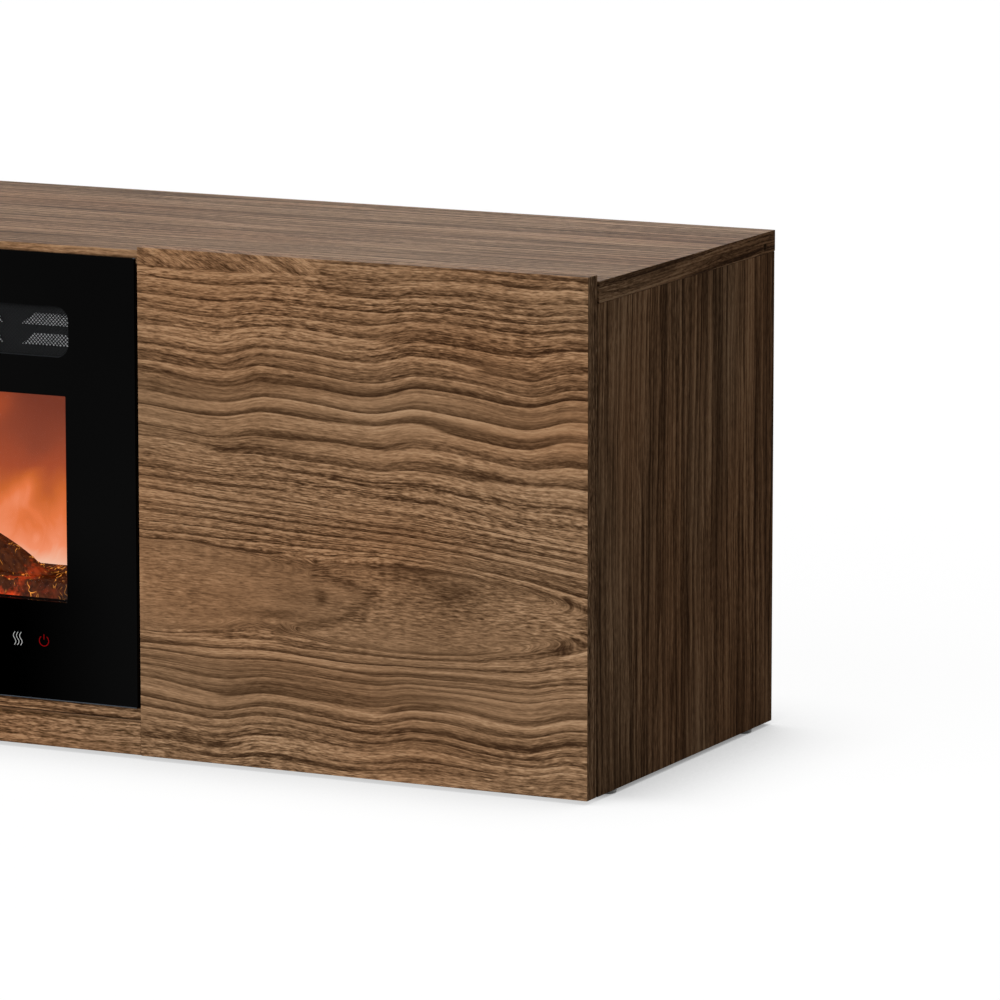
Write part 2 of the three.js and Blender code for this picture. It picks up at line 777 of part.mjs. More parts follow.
add('insert_housing', insertHousing(), 'blackSteel');
for (const [side, hand] of Object.entries(hands)) {
  add(`${side}_insert_bracket`, insertBracket(hand), 'steel');
}
add('power_inlet', powerInlet(), 'blackPlastic');

// Fire chamber: liner, screen, ember bed and logs

/** The dark walls around the fire, open in front and behind. */
function fireboxLiner() {
  const nearY = insertFrontY + seam;
  const outer = block([-linerHalfWidth, nearY, linerLowZ], [linerHalfWidth, linerBackY, linerHighZ]);
  return outer.subtract(block(
    [-linerHalfWidth + linerWall, nearY - overrun, linerLowZ + linerWall],
    [linerHalfWidth - linerWall, linerBackY + overrun, linerHighZ - linerWall]));
}

/** The lit screen that closes the back of the liner. */
function flameScreen() {
  return block(
    [-linerHalfWidth, linerBackY + seam, linerLowZ], [linerHalfWidth, screenBackY, linerHighZ]);
}

/** The ember bed: a sloping toe in front of a flat ledge. */
function emberBed() {
  const floorZ = linerLowZ + linerWall + seam;
  const nearY = insertFrontY + seam * 2;
  const farY = linerBackY - seam;
  const half = linerHalfWidth - linerWall - bedSideGap / 2;
  return barAlongX([
    [nearY, floorZ],
    [farY, floorZ],
    [farY, bedTopZ],
    [nearY + bedLedgeDepth, bedTopZ],
    [nearY, bedTopZ - bedToeHeight],
  ], -half, half);
}

/**
 * A log from one point to another, with a bend and an uneven girth. Both ends
 * are flat caps. The numbers in swellShares set how uneven it is.
 */
function log(start, end, radius, bend) {
  const swellShares = { alongLength: 0.09, aroundGirth: 0.07 };
  const from = new THREE.Vector3(...start);
  const to = new THREE.Vector3(...end);
  const direction = to.clone().sub(from).normalize();
  const side = new THREE.Vector3(0, 0, 1).cross(direction).normalize();
  const up = direction.clone().cross(side);
  const points = [];
  const triangles = [];
  for (const ring of counting(logRings)) {
    const t = ring / (logRings - 1);
    const centre = from.clone().lerp(to, t).addScaledVector(side, bend * Math.sin(Math.PI * t));
    for (const step of counting(logSides)) {
      const angle = Math.PI * 2 * step / logSides;
      const swell = 1 + swellShares.alongLength * Math.sin(Math.PI * 3 * t + bend)
        + swellShares.aroundGirth * Math.sin(angle * 3 + Math.PI * 2 * t);
      const point = centre.clone()
        .addScaledVector(side, radius * swell * Math.cos(angle))
        .addScaledVector(up, radius * swell * Math.sin(angle));
      points.push(point.x, point.y, point.z);
    }
  }
  for (const ring of counting(logRings - 1)) {
    for (const step of counting(logSides)) {
      const a = ring * logSides + step;
      const b = ring * logSides + (step + 1) % logSides;
      triangles.push(a, b, b + logSides, a, b + logSides, a + logSides);
    }
  }
  const last = (logRings - 1) * logSides;
  for (const step of counting(logSides - 2)) {
    triangles.push(0, step + 2, step + 1, last, last + step + 1, last + step + 2);
  }
  const geometry = new THREE.BufferGeometry();
  geometry.setAttribute('position', new THREE.Float32BufferAttribute(points, 3));
  geometry.setIndex(triangles);
  return solid(geometry);
}

// Where the logs start and end, as shares of the pile's half span, spacing and
// rise. A log's bend is a share of its radius.
const lowLogShares = [
  { from: [-0.94, 0, 0], to: [0.85, -0.3, 0], bend: 0.5 },
  { from: [-0.8, 1, 0], to: [0.93, 0.8, 0], bend: -0.33 },
];
const topLogShares = [
  { from: [-0.95, -0.3, -0.5], to: [-0.2, 1, 1.6], bend: 0.33 },
  { from: [0.35, 0.8, 2.1], to: [1, -0.2, -0.65], bend: 0.33 },
  { from: [-0.35, 0, 1], to: [0.42, 0.6, 1.3], bend: -0.33 },
];

/** The moulded logs: two long ones on the bed with three across them, cut flat below. */
function logSet() {
  const baseZ = bedTopZ + seam;
  const middleY = insertFrontY + logFromFront;
  const lowZ = baseZ + logRadius / 2;
  const place = ([x, y, z]) => [x * logHalfSpan, middleY + y * logSpacing, lowZ + z * logRise];
  const logsFrom = (shares, radius) => shares.map(({ from, to, bend }) => (
    log(place(from), place(to), radius, bend * radius)));
  const logs = [...logsFrom(lowLogShares, logRadius), ...logsFrom(topLogShares, logTopRadius)];
  const room = block([-logHalfSpan * 2, frontY, linerLowZ], [logHalfSpan * 2, backY, baseZ]);
  return joined(logs).subtract(room);
}

add('firebox_liner', fireboxLiner(), 'blackSteel');
add('flame_screen', flameScreen(), 'flame');
add('ember_bed', emberBed(), 'ember');
add('log_set', logSet(), 'log');

// Flicker rotor with its bearings, motor and lights

/** A circuit board on standoffs, with its underside face at the standoffs' tops. */
function boardOnStandoffs(cornerA, cornerB, floorZ) {
  const board = block([...cornerA, floorZ + standoff], [...cornerB, floorZ + standoff + boardSheet]);
  const insetX = Math.sign(cornerB[0] - cornerA[0]) * standoffRadius * 2;
  const insetY = Math.sign(cornerB[1] - cornerA[1]) * standoffRadius * 2;
  const legs = [cornerA[0] + insetX, cornerB[0] - insetX].flatMap((x) => (
    [cornerA[1] + insetY, cornerB[1] - insetY].map((y) => rod(
      'z', [x, y, floorZ], standoff + boardSheet / 2, standoffRadius, smallSides))));
  return joined([board, ...legs]);
}

/** The reflector rod: short flaps set at a steady twist along it. */
function flameRotor() {
  const axle = rod('x', [-rotorRodSpan, rotorY, rotorZ], rotorRodSpan * 2, rotorRodRadius);
  const pitch = bearingSpan * 2 / (flapCount + 1);
  const flaps = counting(flapCount).map((i) => {
    const x = (i - (flapCount - 1) / 2) * pitch;
    return solid(new THREE.BoxGeometry(flapLength, flapReach * 2, flapThickness)
      .rotateX(Math.PI * flapTwistShare * i)
      .translate(x, rotorY, rotorZ));
  });
  return joined([axle, ...flaps]);
}

/** The cradle of the rotor: a strip on the floor with an upright at each end. */
function rotorCradle() {
  const outerX = bearingSpan + bearingThickness;
  const lowZ = housingFloorZ + seam;
  const strip = block(
    [-outerX, rotorY - cradleHalfWidth, lowZ], [outerX, rotorY + cradleHalfWidth, lowZ + bearingThickness]);
  const uprights = Object.values(hands).map((hand) => block(
    [hand * bearingSpan, rotorY - cradleHalfWidth, lowZ],
    [hand * outerX, rotorY + cradleHalfWidth, rotorZ + bearingRise]));
  const hole = rod(
    'x', [-outerX - overrun, rotorY, rotorZ], (outerX + overrun) * 2, rotorRodRadius + seam);
  return joined([strip, ...uprights]).subtract(hole);
}

/** The small geared motor on the right end of the rotor. */
function rotorMotor() {
  const nearX = bearingSpan + bearingThickness + seam;
  const body = rod('x', [nearX, rotorY, rotorZ], rotorMotorLength, rotorMotorRadius, fineSides);
  const socket = rod(
    'x', [nearX - overrun, rotorY, rotorZ], rotorRodSpan + seam + overrun - nearX, rotorRodRadius + seam);
  return body.subtract(socket);
}

/** The row of lights under the rotor. */
function ledBoard() {
  const half = bearingSpan - ledBoardEndRoom;
  const floorZ = housingFloorZ + seam * 2 + bearingThickness;
  const board = boardOnStandoffs(
    [-half, rotorY - ledBoardWidth / 2], [half, rotorY + ledBoardWidth / 2], floorZ);
  const pitch = half * 2 / ledCount;
  const lamps = counting(ledCount).map((i) => rod(
    'z', [(i - (ledCount - 1) / 2) * pitch, rotorY, floorZ + standoff], boardSheet + ledRise,
    ledRadius, smallSides));
  return joined([board, ...lamps]);
}

add('flame_rotor', flameRotor(), 'steel');
add('rotor_cradle', rotorCradle(), 'steel');
add('rotor_motor', rotorMotor(), 'greyPlastic');
add('led_board', ledBoard(), 'circuit');

// Heater: cross-flow blower, its motor and the heating element

const blowerNearY = insertFrontY + blowerFromFront;
const wheelEndX = blowerHalfLength - blowerWall - seam;
const ductHalfHeight = ductHeight / 2 + seam;

/** The blower's casing: a drum with a duct from the back to the louvres, and two hangers. */
function blowerHousing() {
  const drumRadius = wheelRadius + wheelRoom;
  const innerX = blowerHalfLength - blowerWall;
  const frontDuctY = insertFrontY + louvrePlateThickness + seam;
  const backDuctY = wheelY + drumRadius + blowerTailLength;
  const drum = rod(
    'x', [-blowerHalfLength, wheelY, ventMidZ], blowerHalfLength * 2, drumRadius + blowerWall, fineSides);
  const duct = block(
    [-blowerHalfLength, frontDuctY, ventMidZ - ductHalfHeight - blowerWall],
    [blowerHalfLength, backDuctY, ventMidZ + ductHalfHeight + blowerWall]);
  const hangerX = blowerHalfLength - hangerFromEnd;
  const hangers = Object.values(hands).map((hand) => block(
    [hand * (hangerX - hangerWidth), wheelY - hangerWidth / 2, ventMidZ + drumRadius + blowerWall / 2],
    [hand * hangerX, wheelY + hangerWidth / 2, housingHighZ - sheet - seam]));
  const drumHollow = rod('x', [-innerX, wheelY, ventMidZ], innerX * 2, drumRadius, fineSides);
  const ductHollow = block(
    [-innerX, frontDuctY - overrun, ventMidZ - ductHalfHeight],
    [innerX, backDuctY + overrun, ventMidZ + ductHalfHeight]);
  const shaftHole = rod(
    'x', [-blowerHalfLength - overrun, wheelY, ventMidZ], (blowerHalfLength + overrun) * 2,
    shaftRadius + seam);
  return joined([drum, duct, ...hangers]).subtract(joined([drumHollow, ductHollow, shaftHole]));
}

/** The blower wheel: discs on a shaft with a ring of blades. */
function blowerWheel() {
  const shaftEndX = blowerHalfLength + blowerMotorLength / 2;
  const shaft = rod('x', [-shaftEndX, wheelY, ventMidZ], shaftEndX + blowerHalfLength, shaftRadius);
  const discPitch = (wheelEndX * 2 - wheelDiscThickness) / (wheelDiscCount - 1);
  const discs = counting(wheelDiscCount).map((i) => rod(
    'x', [-wheelEndX + i * discPitch, wheelY, ventMidZ], wheelDiscThickness, wheelRadius, fineSides));
  const bladeRadius = wheelRadius - wheelBladeDepth / 2 - wheelBladeThickness;
  const blades = counting(wheelBladeCount).map((i) => solid(
    new THREE.BoxGeometry(wheelEndX * 2, wheelBladeDepth, wheelBladeThickness)
      .translate(0, bladeRadius, 0)
      .rotateX(Math.PI * 2 * i / wheelBladeCount)
      .translate(0, wheelY, ventMidZ)));
  return joined([shaft, ...discs, ...blades]);
}

/** The blower's motor, on the left end of its casing. */
function blowerMotor() {
  const nearX = -blowerHalfLength - seam;
  const body = rod('x', [nearX, wheelY, ventMidZ], -blowerMotorLength, blowerMotorRadius, fineSides);
  const socket = rod(
    'x', [nearX + overrun, wheelY, ventMidZ], -(blowerMotorLength / 2 + seam * 2 + overrun),
    shaftRadius + seam);
  return body.subtract(socket);
}

/** The heating element: two bars with fins, in front of the duct. */
function heaterElement() {
  const half = blowerHalfLength - heaterEndRoom;
  const nearY = blowerNearY - seam - heaterDepth;
  const lowZ = ventMidZ - ductHeight / 2;
  const highZ = ventMidZ + ductHeight / 2;
  const bars = [lowZ, highZ - heaterBarHeight].map((z) => block(
    [-half, nearY, z], [half, nearY + heaterDepth, z + heaterBarHeight]));
  const pitch = (half * 2 - heaterFinThickness) / (heaterFinCount - 1);
  const fins = counting(heaterFinCount).map((i) => {
    const x = -half + i * pitch;
    return block([x, nearY, lowZ], [x + heaterFinThickness, nearY + heaterDepth, highZ]);
  });
  return joined([...bars, ...fins]);
}

add('blower_housing', blowerHousing(), 'blackSteel');
add('blower_wheel', blowerWheel(), 'steel');
add('blower_motor', blowerMotor(), 'greyPlastic');
add('heater_element', heaterElement(), 'steel');

// Electronics

/** The touch board behind the right lower corner of the glass. */
function controlBoard() {
  const outerX = housingHalfWidth - touchBoardFromEdge;
  const lowZ = housingLowZ + touchBoardRise;
  return block(
    [outerX - touchBoardLength, insertFrontY, lowZ],
    [outerX, insertFrontY + boardSheet, lowZ + touchBoardHeight]);
}

/** The power board with its relay and transformer. */
function powerBoard() {
  const outerX = -housingHalfWidth + powerBoardFromSide;
  const nearY = insertFrontY + powerBoardFromFront;
  const floorZ = housingFloorZ + seam;
  const faceZ = floorZ + standoff;
  const board = boardOnStandoffs(
    [outerX, nearY], [outerX + powerBoardLength, nearY + powerBoardDepth], floorZ);
  const partsY = nearY + powerPartsFromEdge;
  const relayX = outerX + relayFromEnd;
  const transformerX = outerX + transformerFromEnd;
  const relay = block([relayX, partsY, faceZ], [relayX + relaySize, partsY + relaySize, faceZ + relaySize]);
  const transformer = block(
    [transformerX, partsY, faceZ],
    [transformerX + transformerSize, partsY + transformerSize, faceZ + transformerSize]);
  return joined([board, relay, transformer]);
}

add('control_board', controlBoard(), 'circuit');
add('power_board', powerBoard(), 'circuit');

export default part;
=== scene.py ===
"""Fireplace TV stand: its finishes, small parts, lights and camera, around the fixed frame of solid parts.

Lengths are in metres. +X is to the right, +Y to the back and +Z up, and the floor is at z = 0.
"""

import json
import logging
import math
from dataclasses import dataclass
from enum import Enum
from typing import Iterable, Iterator, Sequence

import bmesh
import bpy
from mathutils import Matrix, Vector, noise
from mathutils.geometry import tessellate_polygon


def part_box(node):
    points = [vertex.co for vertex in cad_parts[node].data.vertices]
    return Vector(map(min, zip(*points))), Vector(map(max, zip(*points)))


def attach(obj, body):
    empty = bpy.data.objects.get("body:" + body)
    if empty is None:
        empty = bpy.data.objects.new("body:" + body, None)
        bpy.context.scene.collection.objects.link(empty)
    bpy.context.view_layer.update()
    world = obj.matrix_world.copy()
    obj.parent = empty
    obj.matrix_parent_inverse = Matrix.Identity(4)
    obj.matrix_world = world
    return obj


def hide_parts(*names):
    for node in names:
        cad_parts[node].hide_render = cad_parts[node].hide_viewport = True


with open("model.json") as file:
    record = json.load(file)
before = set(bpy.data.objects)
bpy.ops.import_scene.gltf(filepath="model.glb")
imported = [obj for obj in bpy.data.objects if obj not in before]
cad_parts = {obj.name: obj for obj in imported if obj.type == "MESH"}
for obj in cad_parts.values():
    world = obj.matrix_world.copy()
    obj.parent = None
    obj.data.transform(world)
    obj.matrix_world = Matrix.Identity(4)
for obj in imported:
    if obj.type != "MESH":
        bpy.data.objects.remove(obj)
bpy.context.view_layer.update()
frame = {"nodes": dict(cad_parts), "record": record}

MM = 0.001
TURN = math.tau
SIDES = {"left": -1, "right": 1}

log = logging.getLogger("fireplace_tv_stand")

Colour = tuple[float, float, float]
Point = tuple[float, float, float]
Outline = list[tuple[float, float]]
Vert = bmesh.types.BMVert

BLACK = (0.0, 0.0, 0.0)
WHITE = (1.0, 1.0, 1.0)
BACKWARD = (0, 1, 0)
DOWNWARD = (0, 0, -1)


def srgb(code: str) -> Colour:
    """Turn a display colour of six hexadecimal digits into the linear one that shaders use."""
    channels = [int(code[i:i + 2], 16) / 255 for i in (0, 2, 4)]
    return tuple(c / 12.92 if c <= 0.04045 else ((c + 0.055) / 1.055) ** 2.4 for c in channels)


def shade(colour: Colour, share: float) -> Colour:
    """Darken or brighten a colour, up to white."""
    return tuple(min(c * share, 1.0) for c in colour)


# Materials: a small language over shader nodes


class Field:
    """A number, vector or colour that a material's nodes work out, with ordinary arithmetic."""

    def __init__(self, paint: "Paint", socket: bpy.types.NodeSocket) -> None:
        """Keep the node tree's builder and the socket that carries the value."""
        self.paint = paint
        self.socket = socket

    def __add__(self, other: "Value") -> "Field":
        """Add another value."""
        return self.paint.math("ADD", self, other)

    def __sub__(self, other: "Value") -> "Field":
        """Subtract another value."""
        return self.paint.math("SUBTRACT", self, other)

    def __mul__(self, other: "Value") -> "Field":
        """Multiply by another value."""
        return self.paint.math("MULTIPLY", self, other)

    def __truediv__(self, other: "Value") -> "Field":
        """Divide by another value."""
        return self.paint.math("DIVIDE", self, other)

    def __rsub__(self, other: float) -> "Field":
        """Subtract this value from a number."""
        return self.paint.math("SUBTRACT", other, self)

    def size(self) -> "Field":
        """The value without its sign."""
        return self.paint.math("ABSOLUTE", self)

    def fraction(self) -> "Field":
        """The part after the decimal point, from 0 to 1."""
        return self.paint.math("FRACT", self)

    def exponential(self) -> "Field":
        """E to the power of this value."""
        return self.paint.math("EXPONENT", self)

    def above(self, limit: "Value") -> "Field":
        """One where the value is over the limit, and zero elsewhere."""
        return self.paint.math("GREATER_THAN", self, limit)

    def smaller(self, other: "Value") -> "Field":
        """The smaller of this and another value."""
        return self.paint.math("MINIMUM", self, other)

    def larger(self, other: "Value") -> "Field":
        """The larger of this and another value."""
        return self.paint.math("MAXIMUM", self, other)

    def bell(self, centre: float, half_width: float) -> "Field":
        """A smooth hump: one at the centre and near zero two half widths away."""
        u = (self - centre) / half_width
        return (u * u * -1.0).exponential()

    def span(self, low: float, high: float, to_low: float = 0.0, to_high: float = 1.0) -> "Field":
        """Map a range to another one with soft ends, and hold it outside.

        Args:
            low: Where the source range starts.
            high: Where it ends.
            to_low: The result at its start.
            to_high: The result at its end.

        Returns:
            The mapped value.
        """
        made = self.paint.node("ShaderNodeMapRange", {
            "Value": self, "From Min": low, "From Max": high, "To Min": to_low, "To Max": to_high,
        }, interpolation_type="SMOOTHSTEP")
        return Field(self.paint, made.outputs["Result"])


Value = Field | float | Sequence[float]


class Paint:
    """Builds one material's nodes, or the surroundings' nodes."""

    def __init__(self, owner: bpy.types.Material | bpy.types.World) -> None:
        """Start the owner's nodes afresh.

        Args:
            owner: The material or the surroundings.
        """
        self.owner = owner
        owner.use_nodes = True
        self.tree = owner.node_tree
        self.tree.nodes.clear()

    @classmethod
    def material(cls, name: str) -> "Paint":
        """Start a new material with this name."""
        return cls(bpy.data.materials.new(name))

    def node(self, kind: str, inputs: dict[str | int, Value] | None = None,
             **settings: object) -> bpy.types.Node:
        """Add a node.

        Args:
            kind: The node's type name.
            inputs: What its sockets get, by their names or numbers.
            settings: Its properties.

        Returns:
            The new node.
        """
        made = self.tree.nodes.new(kind)
        for key, value in settings.items():
            setattr(made, key, value)
        for key, value in (inputs or {}).items():
            self.plug(made.inputs[key], value)
        return made

    def plug(self, socket: bpy.types.NodeSocket, value: Value) -> None:
        """Link a field to a socket, or write a constant on it.

        Args:
            socket: The socket.
            value: The field or the constant.
        """
        if isinstance(value, Field):
            self.tree.links.new(value.socket, socket)
        elif isinstance(value, (int, float)) or socket.type == "VECTOR":
            socket.default_value = value
        else:
            socket.default_value = (*value, 1.0)[:4]

    def math(self, operation: str, *values: Value) -> Field:
        """Work out one arithmetic operation."""
        made = self.node("ShaderNodeMath", dict(enumerate(values)), operation=operation)
        return Field(self, made.outputs[0])

    def parts(self, vector: bpy.types.NodeSocket) -> tuple[Field, Field, Field]:
        """Split a vector socket into its three numbers."""
        split = self.node("ShaderNodeSeparateXYZ", {0: Field(self, vector)})
        return tuple(Field(self, split.outputs[i]) for i in range(3))

    def place(self) -> tuple[Field, Field, Field]:
        """The point's x, y and z in the part's own frame, which a moving piece takes with it."""
        return self.parts(self.node("ShaderNodeTexCoord").outputs["Object"])

    def facing(self) -> tuple[Field, Field, Field]:
        """How far the surface faces along x, y and z, from 0 to 1 each."""
        return tuple(part.size() for part in self.parts(self.node("ShaderNodeTexCoord").outputs["Normal"]))

    def vector(self, x: Value, y: Value, z: Value) -> Field:
        """Combine three numbers."""
        return Field(self, self.node("ShaderNodeCombineXYZ", {0: x, 1: y, 2: z}).outputs[0])

    def attribute(self, name: str) -> Field:
        """A number that the mesh keeps at its points."""
        return Field(self, self.node("ShaderNodeAttribute", attribute_name=name).outputs["Fac"])

    def noise(self, x: Value, y: Value, z: Value = 0.0, scale: float = 1.0, detail: float = 2.0,
              rough: float = 0.5) -> Field:
        """Smooth noise from 0 to 1.

        Args:
            x: Where it is read.
            y: The second number of that place.
            z: The third one.
            scale: Its frequency.
            detail: How many finer layers it has.
            rough: How strong the finer layers are.

        Returns:
            The noise.
        """
        made = self.node("ShaderNodeTexNoise", {
            "Vector": self.vector(x, y, z), "Scale": scale, "Detail": detail, "Roughness": rough})
        return Field(self, made.outputs["Fac"])

    def swing(self, x: Value, y: Value, z: Value = 0.0, **settings: float) -> Field:
        """Smooth noise about zero, with the settings of noise."""
        return self.noise(x, y, z, **settings) - 0.5

    def cells(self, x: Value, y: Value, z: Value, scale: float) -> Field:
        """The distance to the nearest edge of an irregular cell pattern.

        Args:
            x: Where it is read.
            y: The second number of that place.
            z: The third one.
            scale: How many cells there are in a metre.

        Returns:
            The distance.
        """
        made = self.node("ShaderNodeTexVoronoi", {"Vector": self.vector(x, y, z), "Scale": scale},
                         feature="DISTANCE_TO_EDGE")
        return Field(self, made.outputs["Distance"])

    def ramp(self, value: Field, *stops: tuple[float, Colour]) -> Field:
        """Turn a number into a colour.

        Args:
            value: The number, from 0 to 1.
            stops: Where each colour stands.

        Returns:
            The colour.
        """
        made = self.node("ShaderNodeValToRGB", {0: value})
        band = made.color_ramp
        while len(band.elements) < len(stops):
            band.elements.new(0.5)
        for element, (position, colour) in zip(band.elements, stops):
            element.position = position
            element.color = (*colour, 1.0)
        return Field(self, made.outputs["Color"])

    def mix(self, share: Value, a: Value, b: Value, blend: str = "MIX") -> Field:
        """Mix two colours.

        Args:
            share: How much of the second one there is.
            a: The first colour.
            b: The second colour.
            blend: How the second one acts on the first.

        Returns:
            The mixed colour.
        """
        made = self.node("ShaderNodeMix", data_type="RGBA", blend_type=blend)
        for number, value in ((0, share), (6, a), (7, b)):
            self.plug(made.inputs[number], value)
        return Field(self, made.outputs[2])

    def bump(self, height: Field, distance: float, strength: float = 1.0) -> Field:
        """The normal of a relief from 0 to 1, whose full step is this deep."""
        made = self.node("ShaderNodeBump", {"Strength": strength, "Distance": distance, "Height": height})
        return Field(self, made.outputs["Normal"])

    def finish(self, **inputs: Value) -> bpy.types.Material:
        """Close the material with a principled surface.

        Args:
            inputs: Its sockets, with spaces written as underscores.

        Returns:
            The finished material.
        """
        named = {key.replace("_", " "): value for key, value in inputs.items()}
        surface = self.node("ShaderNodeBsdfPrincipled", named)
        self.node("ShaderNodeOutputMaterial", {0: Field(self, surface.outputs[0])})
        return self.owner


# Walnut foil


class Axis(Enum):
    """A direction of the part's frame, by its place in a vector."""

    X = 0
    Y = 1
    Z = 2


@dataclass(frozen=True)
class Belt:
    """A level stretch of a board where the grain swings in smooth, strong waves.

    Attributes:
        middle: Its middle across the grain.
        half_height: Half its height.
        lift: How far the waves' middle lies from the smooth stretch's middle.
        spread: How much taller the waves' stretch is than the smooth one.
    """

    middle: float
    half_height: float
    lift: float = 0.0
    spread: float = 2.0


@dataclass(frozen=True)
class Slope:
    """A level stretch of a board where the grain runs downhill along the board."""

    middle: float
    half_height: float
    pivot: float
    fall: float


@dataclass(frozen=True)
class Patch:
    """A small part of a board, given by its middle along and across the grain and its half sizes."""

    along: float
    across: float
    half_length: float
    half_height: float


@dataclass(frozen=True)
class Lens(Patch):
    """A long oval of open figure, which is smooth inside where calm is one and speckled where it is zero."""

    calm: float


@dataclass(frozen=True)
class Spot(Patch):
    """A soft patch that is darker or paler than the rest."""

    change: float


class Hatch(Patch):
    """A pale patch with slanting pores, as where the grain dives into the board."""


@dataclass(frozen=True)
class Plug:
    """A small round plug in the board's end, level with the foil, with a dark joint round it whose darkness
    is painted shade of the gap round the plug.
    """

    y: float
    z: float
    radius: float = 2.9 * MM


@dataclass(frozen=True)
class Grain:
    """What a board's nodes know of a point: its place along and across the grain, and how smooth that is."""

    paint: Paint
    along: Field
    across: Field
    smooth: Field

    def noise(self, along: float, across: float, seed: float, **settings: float) -> Field:
        """Noise with these numbers of waves in a metre along and across the grain."""
        return self.paint.noise(self.along * along, self.across * across, seed, **settings)

    def swing(self, along: float, across: float, seed: float, **settings: float) -> Field:
        """The same noise about zero."""
        return self.noise(along, across, seed, **settings) - 0.5


@dataclass(frozen=True)
class WalnutFoil:
    """Walnut-grain foil, with its grain along one axis of the part.

    Attributes:
        name: The material's name.
        run: The axis that the grain follows on the large faces.
        end_run: The axis that it follows on the faces at the run's two ends.
        shift: How far the pattern is moved along and across, so that no two boards are alike.
        belts: Where the grain is wavy.
        lenses: The ovals, which the grain lines part round, as in flat-sawn wood.
        slopes: Where the grain runs downhill.
        spots: Darker and paler patches.
        hatches: Pale patches with slanting pores.
        plugs: Plugs in the ends.
        first_dip: Where along the grain the first dip of the waves is.
        wide_line: The width of one of the broad dark and light lines.
        fine_line: The width of one of the finer ones.
        sway: How far the grain wanders.
        streaks: How strong the long thin streaks are.
        streak_pitch: How many of those streaks there are across a metre.
        flecks: How strong the short flecks are.
        contrast: How far the tones lie apart.
        gloss: How strongly it mirrors white surroundings.
    """

    name: str
    run: Axis
    end_run: Axis
    shift: tuple[float, float]
    belts: tuple[Belt, ...] = ()
    lenses: tuple[Lens, ...] = ()
    slopes: tuple[Slope, ...] = ()
    spots: tuple[Spot, ...] = ()
    hatches: tuple[Hatch, ...] = ()
    plugs: tuple[Plug, ...] = ()
    first_dip: float = 0.0
    wave_length: float = 0.157
    wave_height: float = 0.0096
    wide_line: float = 0.0158
    fine_line: float = 0.0104
    sway: float = 0.014
    streaks: float = 0.75
    streak_pitch: float = 620.0
    flecks: float = 1.0
    contrast: float = 1.0
    gloss: float = 0.05
    least_gloss: float = 0.004
    deepest: Colour = srgb("392618")
    dark: Colour = srgb("553e2a")
    middle: Colour = srgb("765a41")
    light: Colour = srgb("957456")
    brightest: Colour = srgb("b18f6e")
    warm_tone: Colour = srgb("a0764c")

    def build(self) -> bpy.types.Material:
        """Make the walnut material.

        Returns:
            The material.
        """
        paint = Paint.material(self.name)
        along, across = self.directions(paint)
        smooth = across * 0.0
        for belt in self.belts:
            smooth = smooth.larger(across.bell(belt.middle, belt.half_height))
        at = Grain(paint, along, across, smooth)
        value = self.patched(at, *self.figure(at, self.rings(at)))
        value = (value - 0.5) * self.contrast + 0.5
        colour = paint.ramp(value, (0.04, self.deepest), (0.28, self.dark), (0.5, self.middle),
                            (0.72, self.light), (0.96, self.brightest))
        warm = at.noise(2.2, 7.0, 4.4, detail=1.0).span(0.4, 0.7, 0.0, 0.35)
        colour = paint.mix(warm, colour, self.warm_tone, "SOFT_LIGHT")
        pores = at.noise(100.0, 1300.0, 1.7, detail=1.0).span(0.6, 0.7)
        colour = paint.mix(pores * (0.5 - smooth * 0.3), colour, shade(self.deepest, 0.6))
        relief = value * 0.6 + (1.0 - pores) * 0.4
        return paint.finish(
            Base_Color=self.joints(paint, colour), Roughness=value.span(0.2, 0.8, 0.66, 0.56),
            Specular_IOR_Level=paint.facing()[2] * (self.gloss - self.least_gloss) + self.least_gloss,
            Normal=paint.bump(relief, 0.1 * MM, 0.5))

    def directions(self, paint: Paint) -> tuple[Field, Field]:
        """Work out where a point is along and across the grain, by the way its face looks.

        Args:
            paint: The material's builder.

        Returns:
            The places along and across, in metres.
        """
        place = paint.place()
        ends = paint.facing()[self.run.value].above(0.75)
        along = place[self.run.value] * (1.0 - ends) + place[self.end_run.value] * ends
        across = place[0] + place[1] + place[2] - along
        return along + self.shift[0], across + self.shift[1]

    def joints(self, paint: Paint, colour: Field) -> Field:
        """Draw the dark joint round each plug in the board's ends, a near-black ring of painted shade for the
        gap round the plug.

        Args:
            paint: The material's builder.
            colour: The foil's colour.

        Returns:
            The colour with the joints.
        """
        if not self.plugs:
            return colour
        _, y, z = paint.place()
        end = paint.facing()[self.run.value].above(0.75)
        for plug in self.plugs:
            u, v = y - plug.y, z - plug.z
            reach = paint.math("SQRT", u * u + v * v)
            ring = (reach - plug.radius).size().span(0.2 * MM, 0.75 * MM, 1.0, 0.0)
            disc = reach.span(plug.radius - 0.6 * MM, plug.radius, 1.0, 0.0)
            colour = paint.mix(disc * end * 0.6, colour, self.dark)
            # The near-black ring is painted shade of the gap round the plug.
            colour = paint.mix(ring * end * 0.92, colour, shade(self.deepest, 0.25))
        return colour

    def ovals(self, at: Grain, squeeze: float) -> Iterator[tuple[Lens, Field]]:
        """Measure how far out of each oval a point is: under one inside, and more outside.

        Args:
            at: The point.
            squeeze: How much the place along counts: one for the oval itself, and less for a longer one.

        Yields:
            Each oval with its measure.
        """
        dents = at.swing(11.0, 30.0, 5.9)
        for lens in self.lenses:
            u = (at.along - lens.along) / lens.half_length
            v = (at.across - lens.across) / lens.half_height
            yield lens, u * u * squeeze + v * v + dents * 0.65

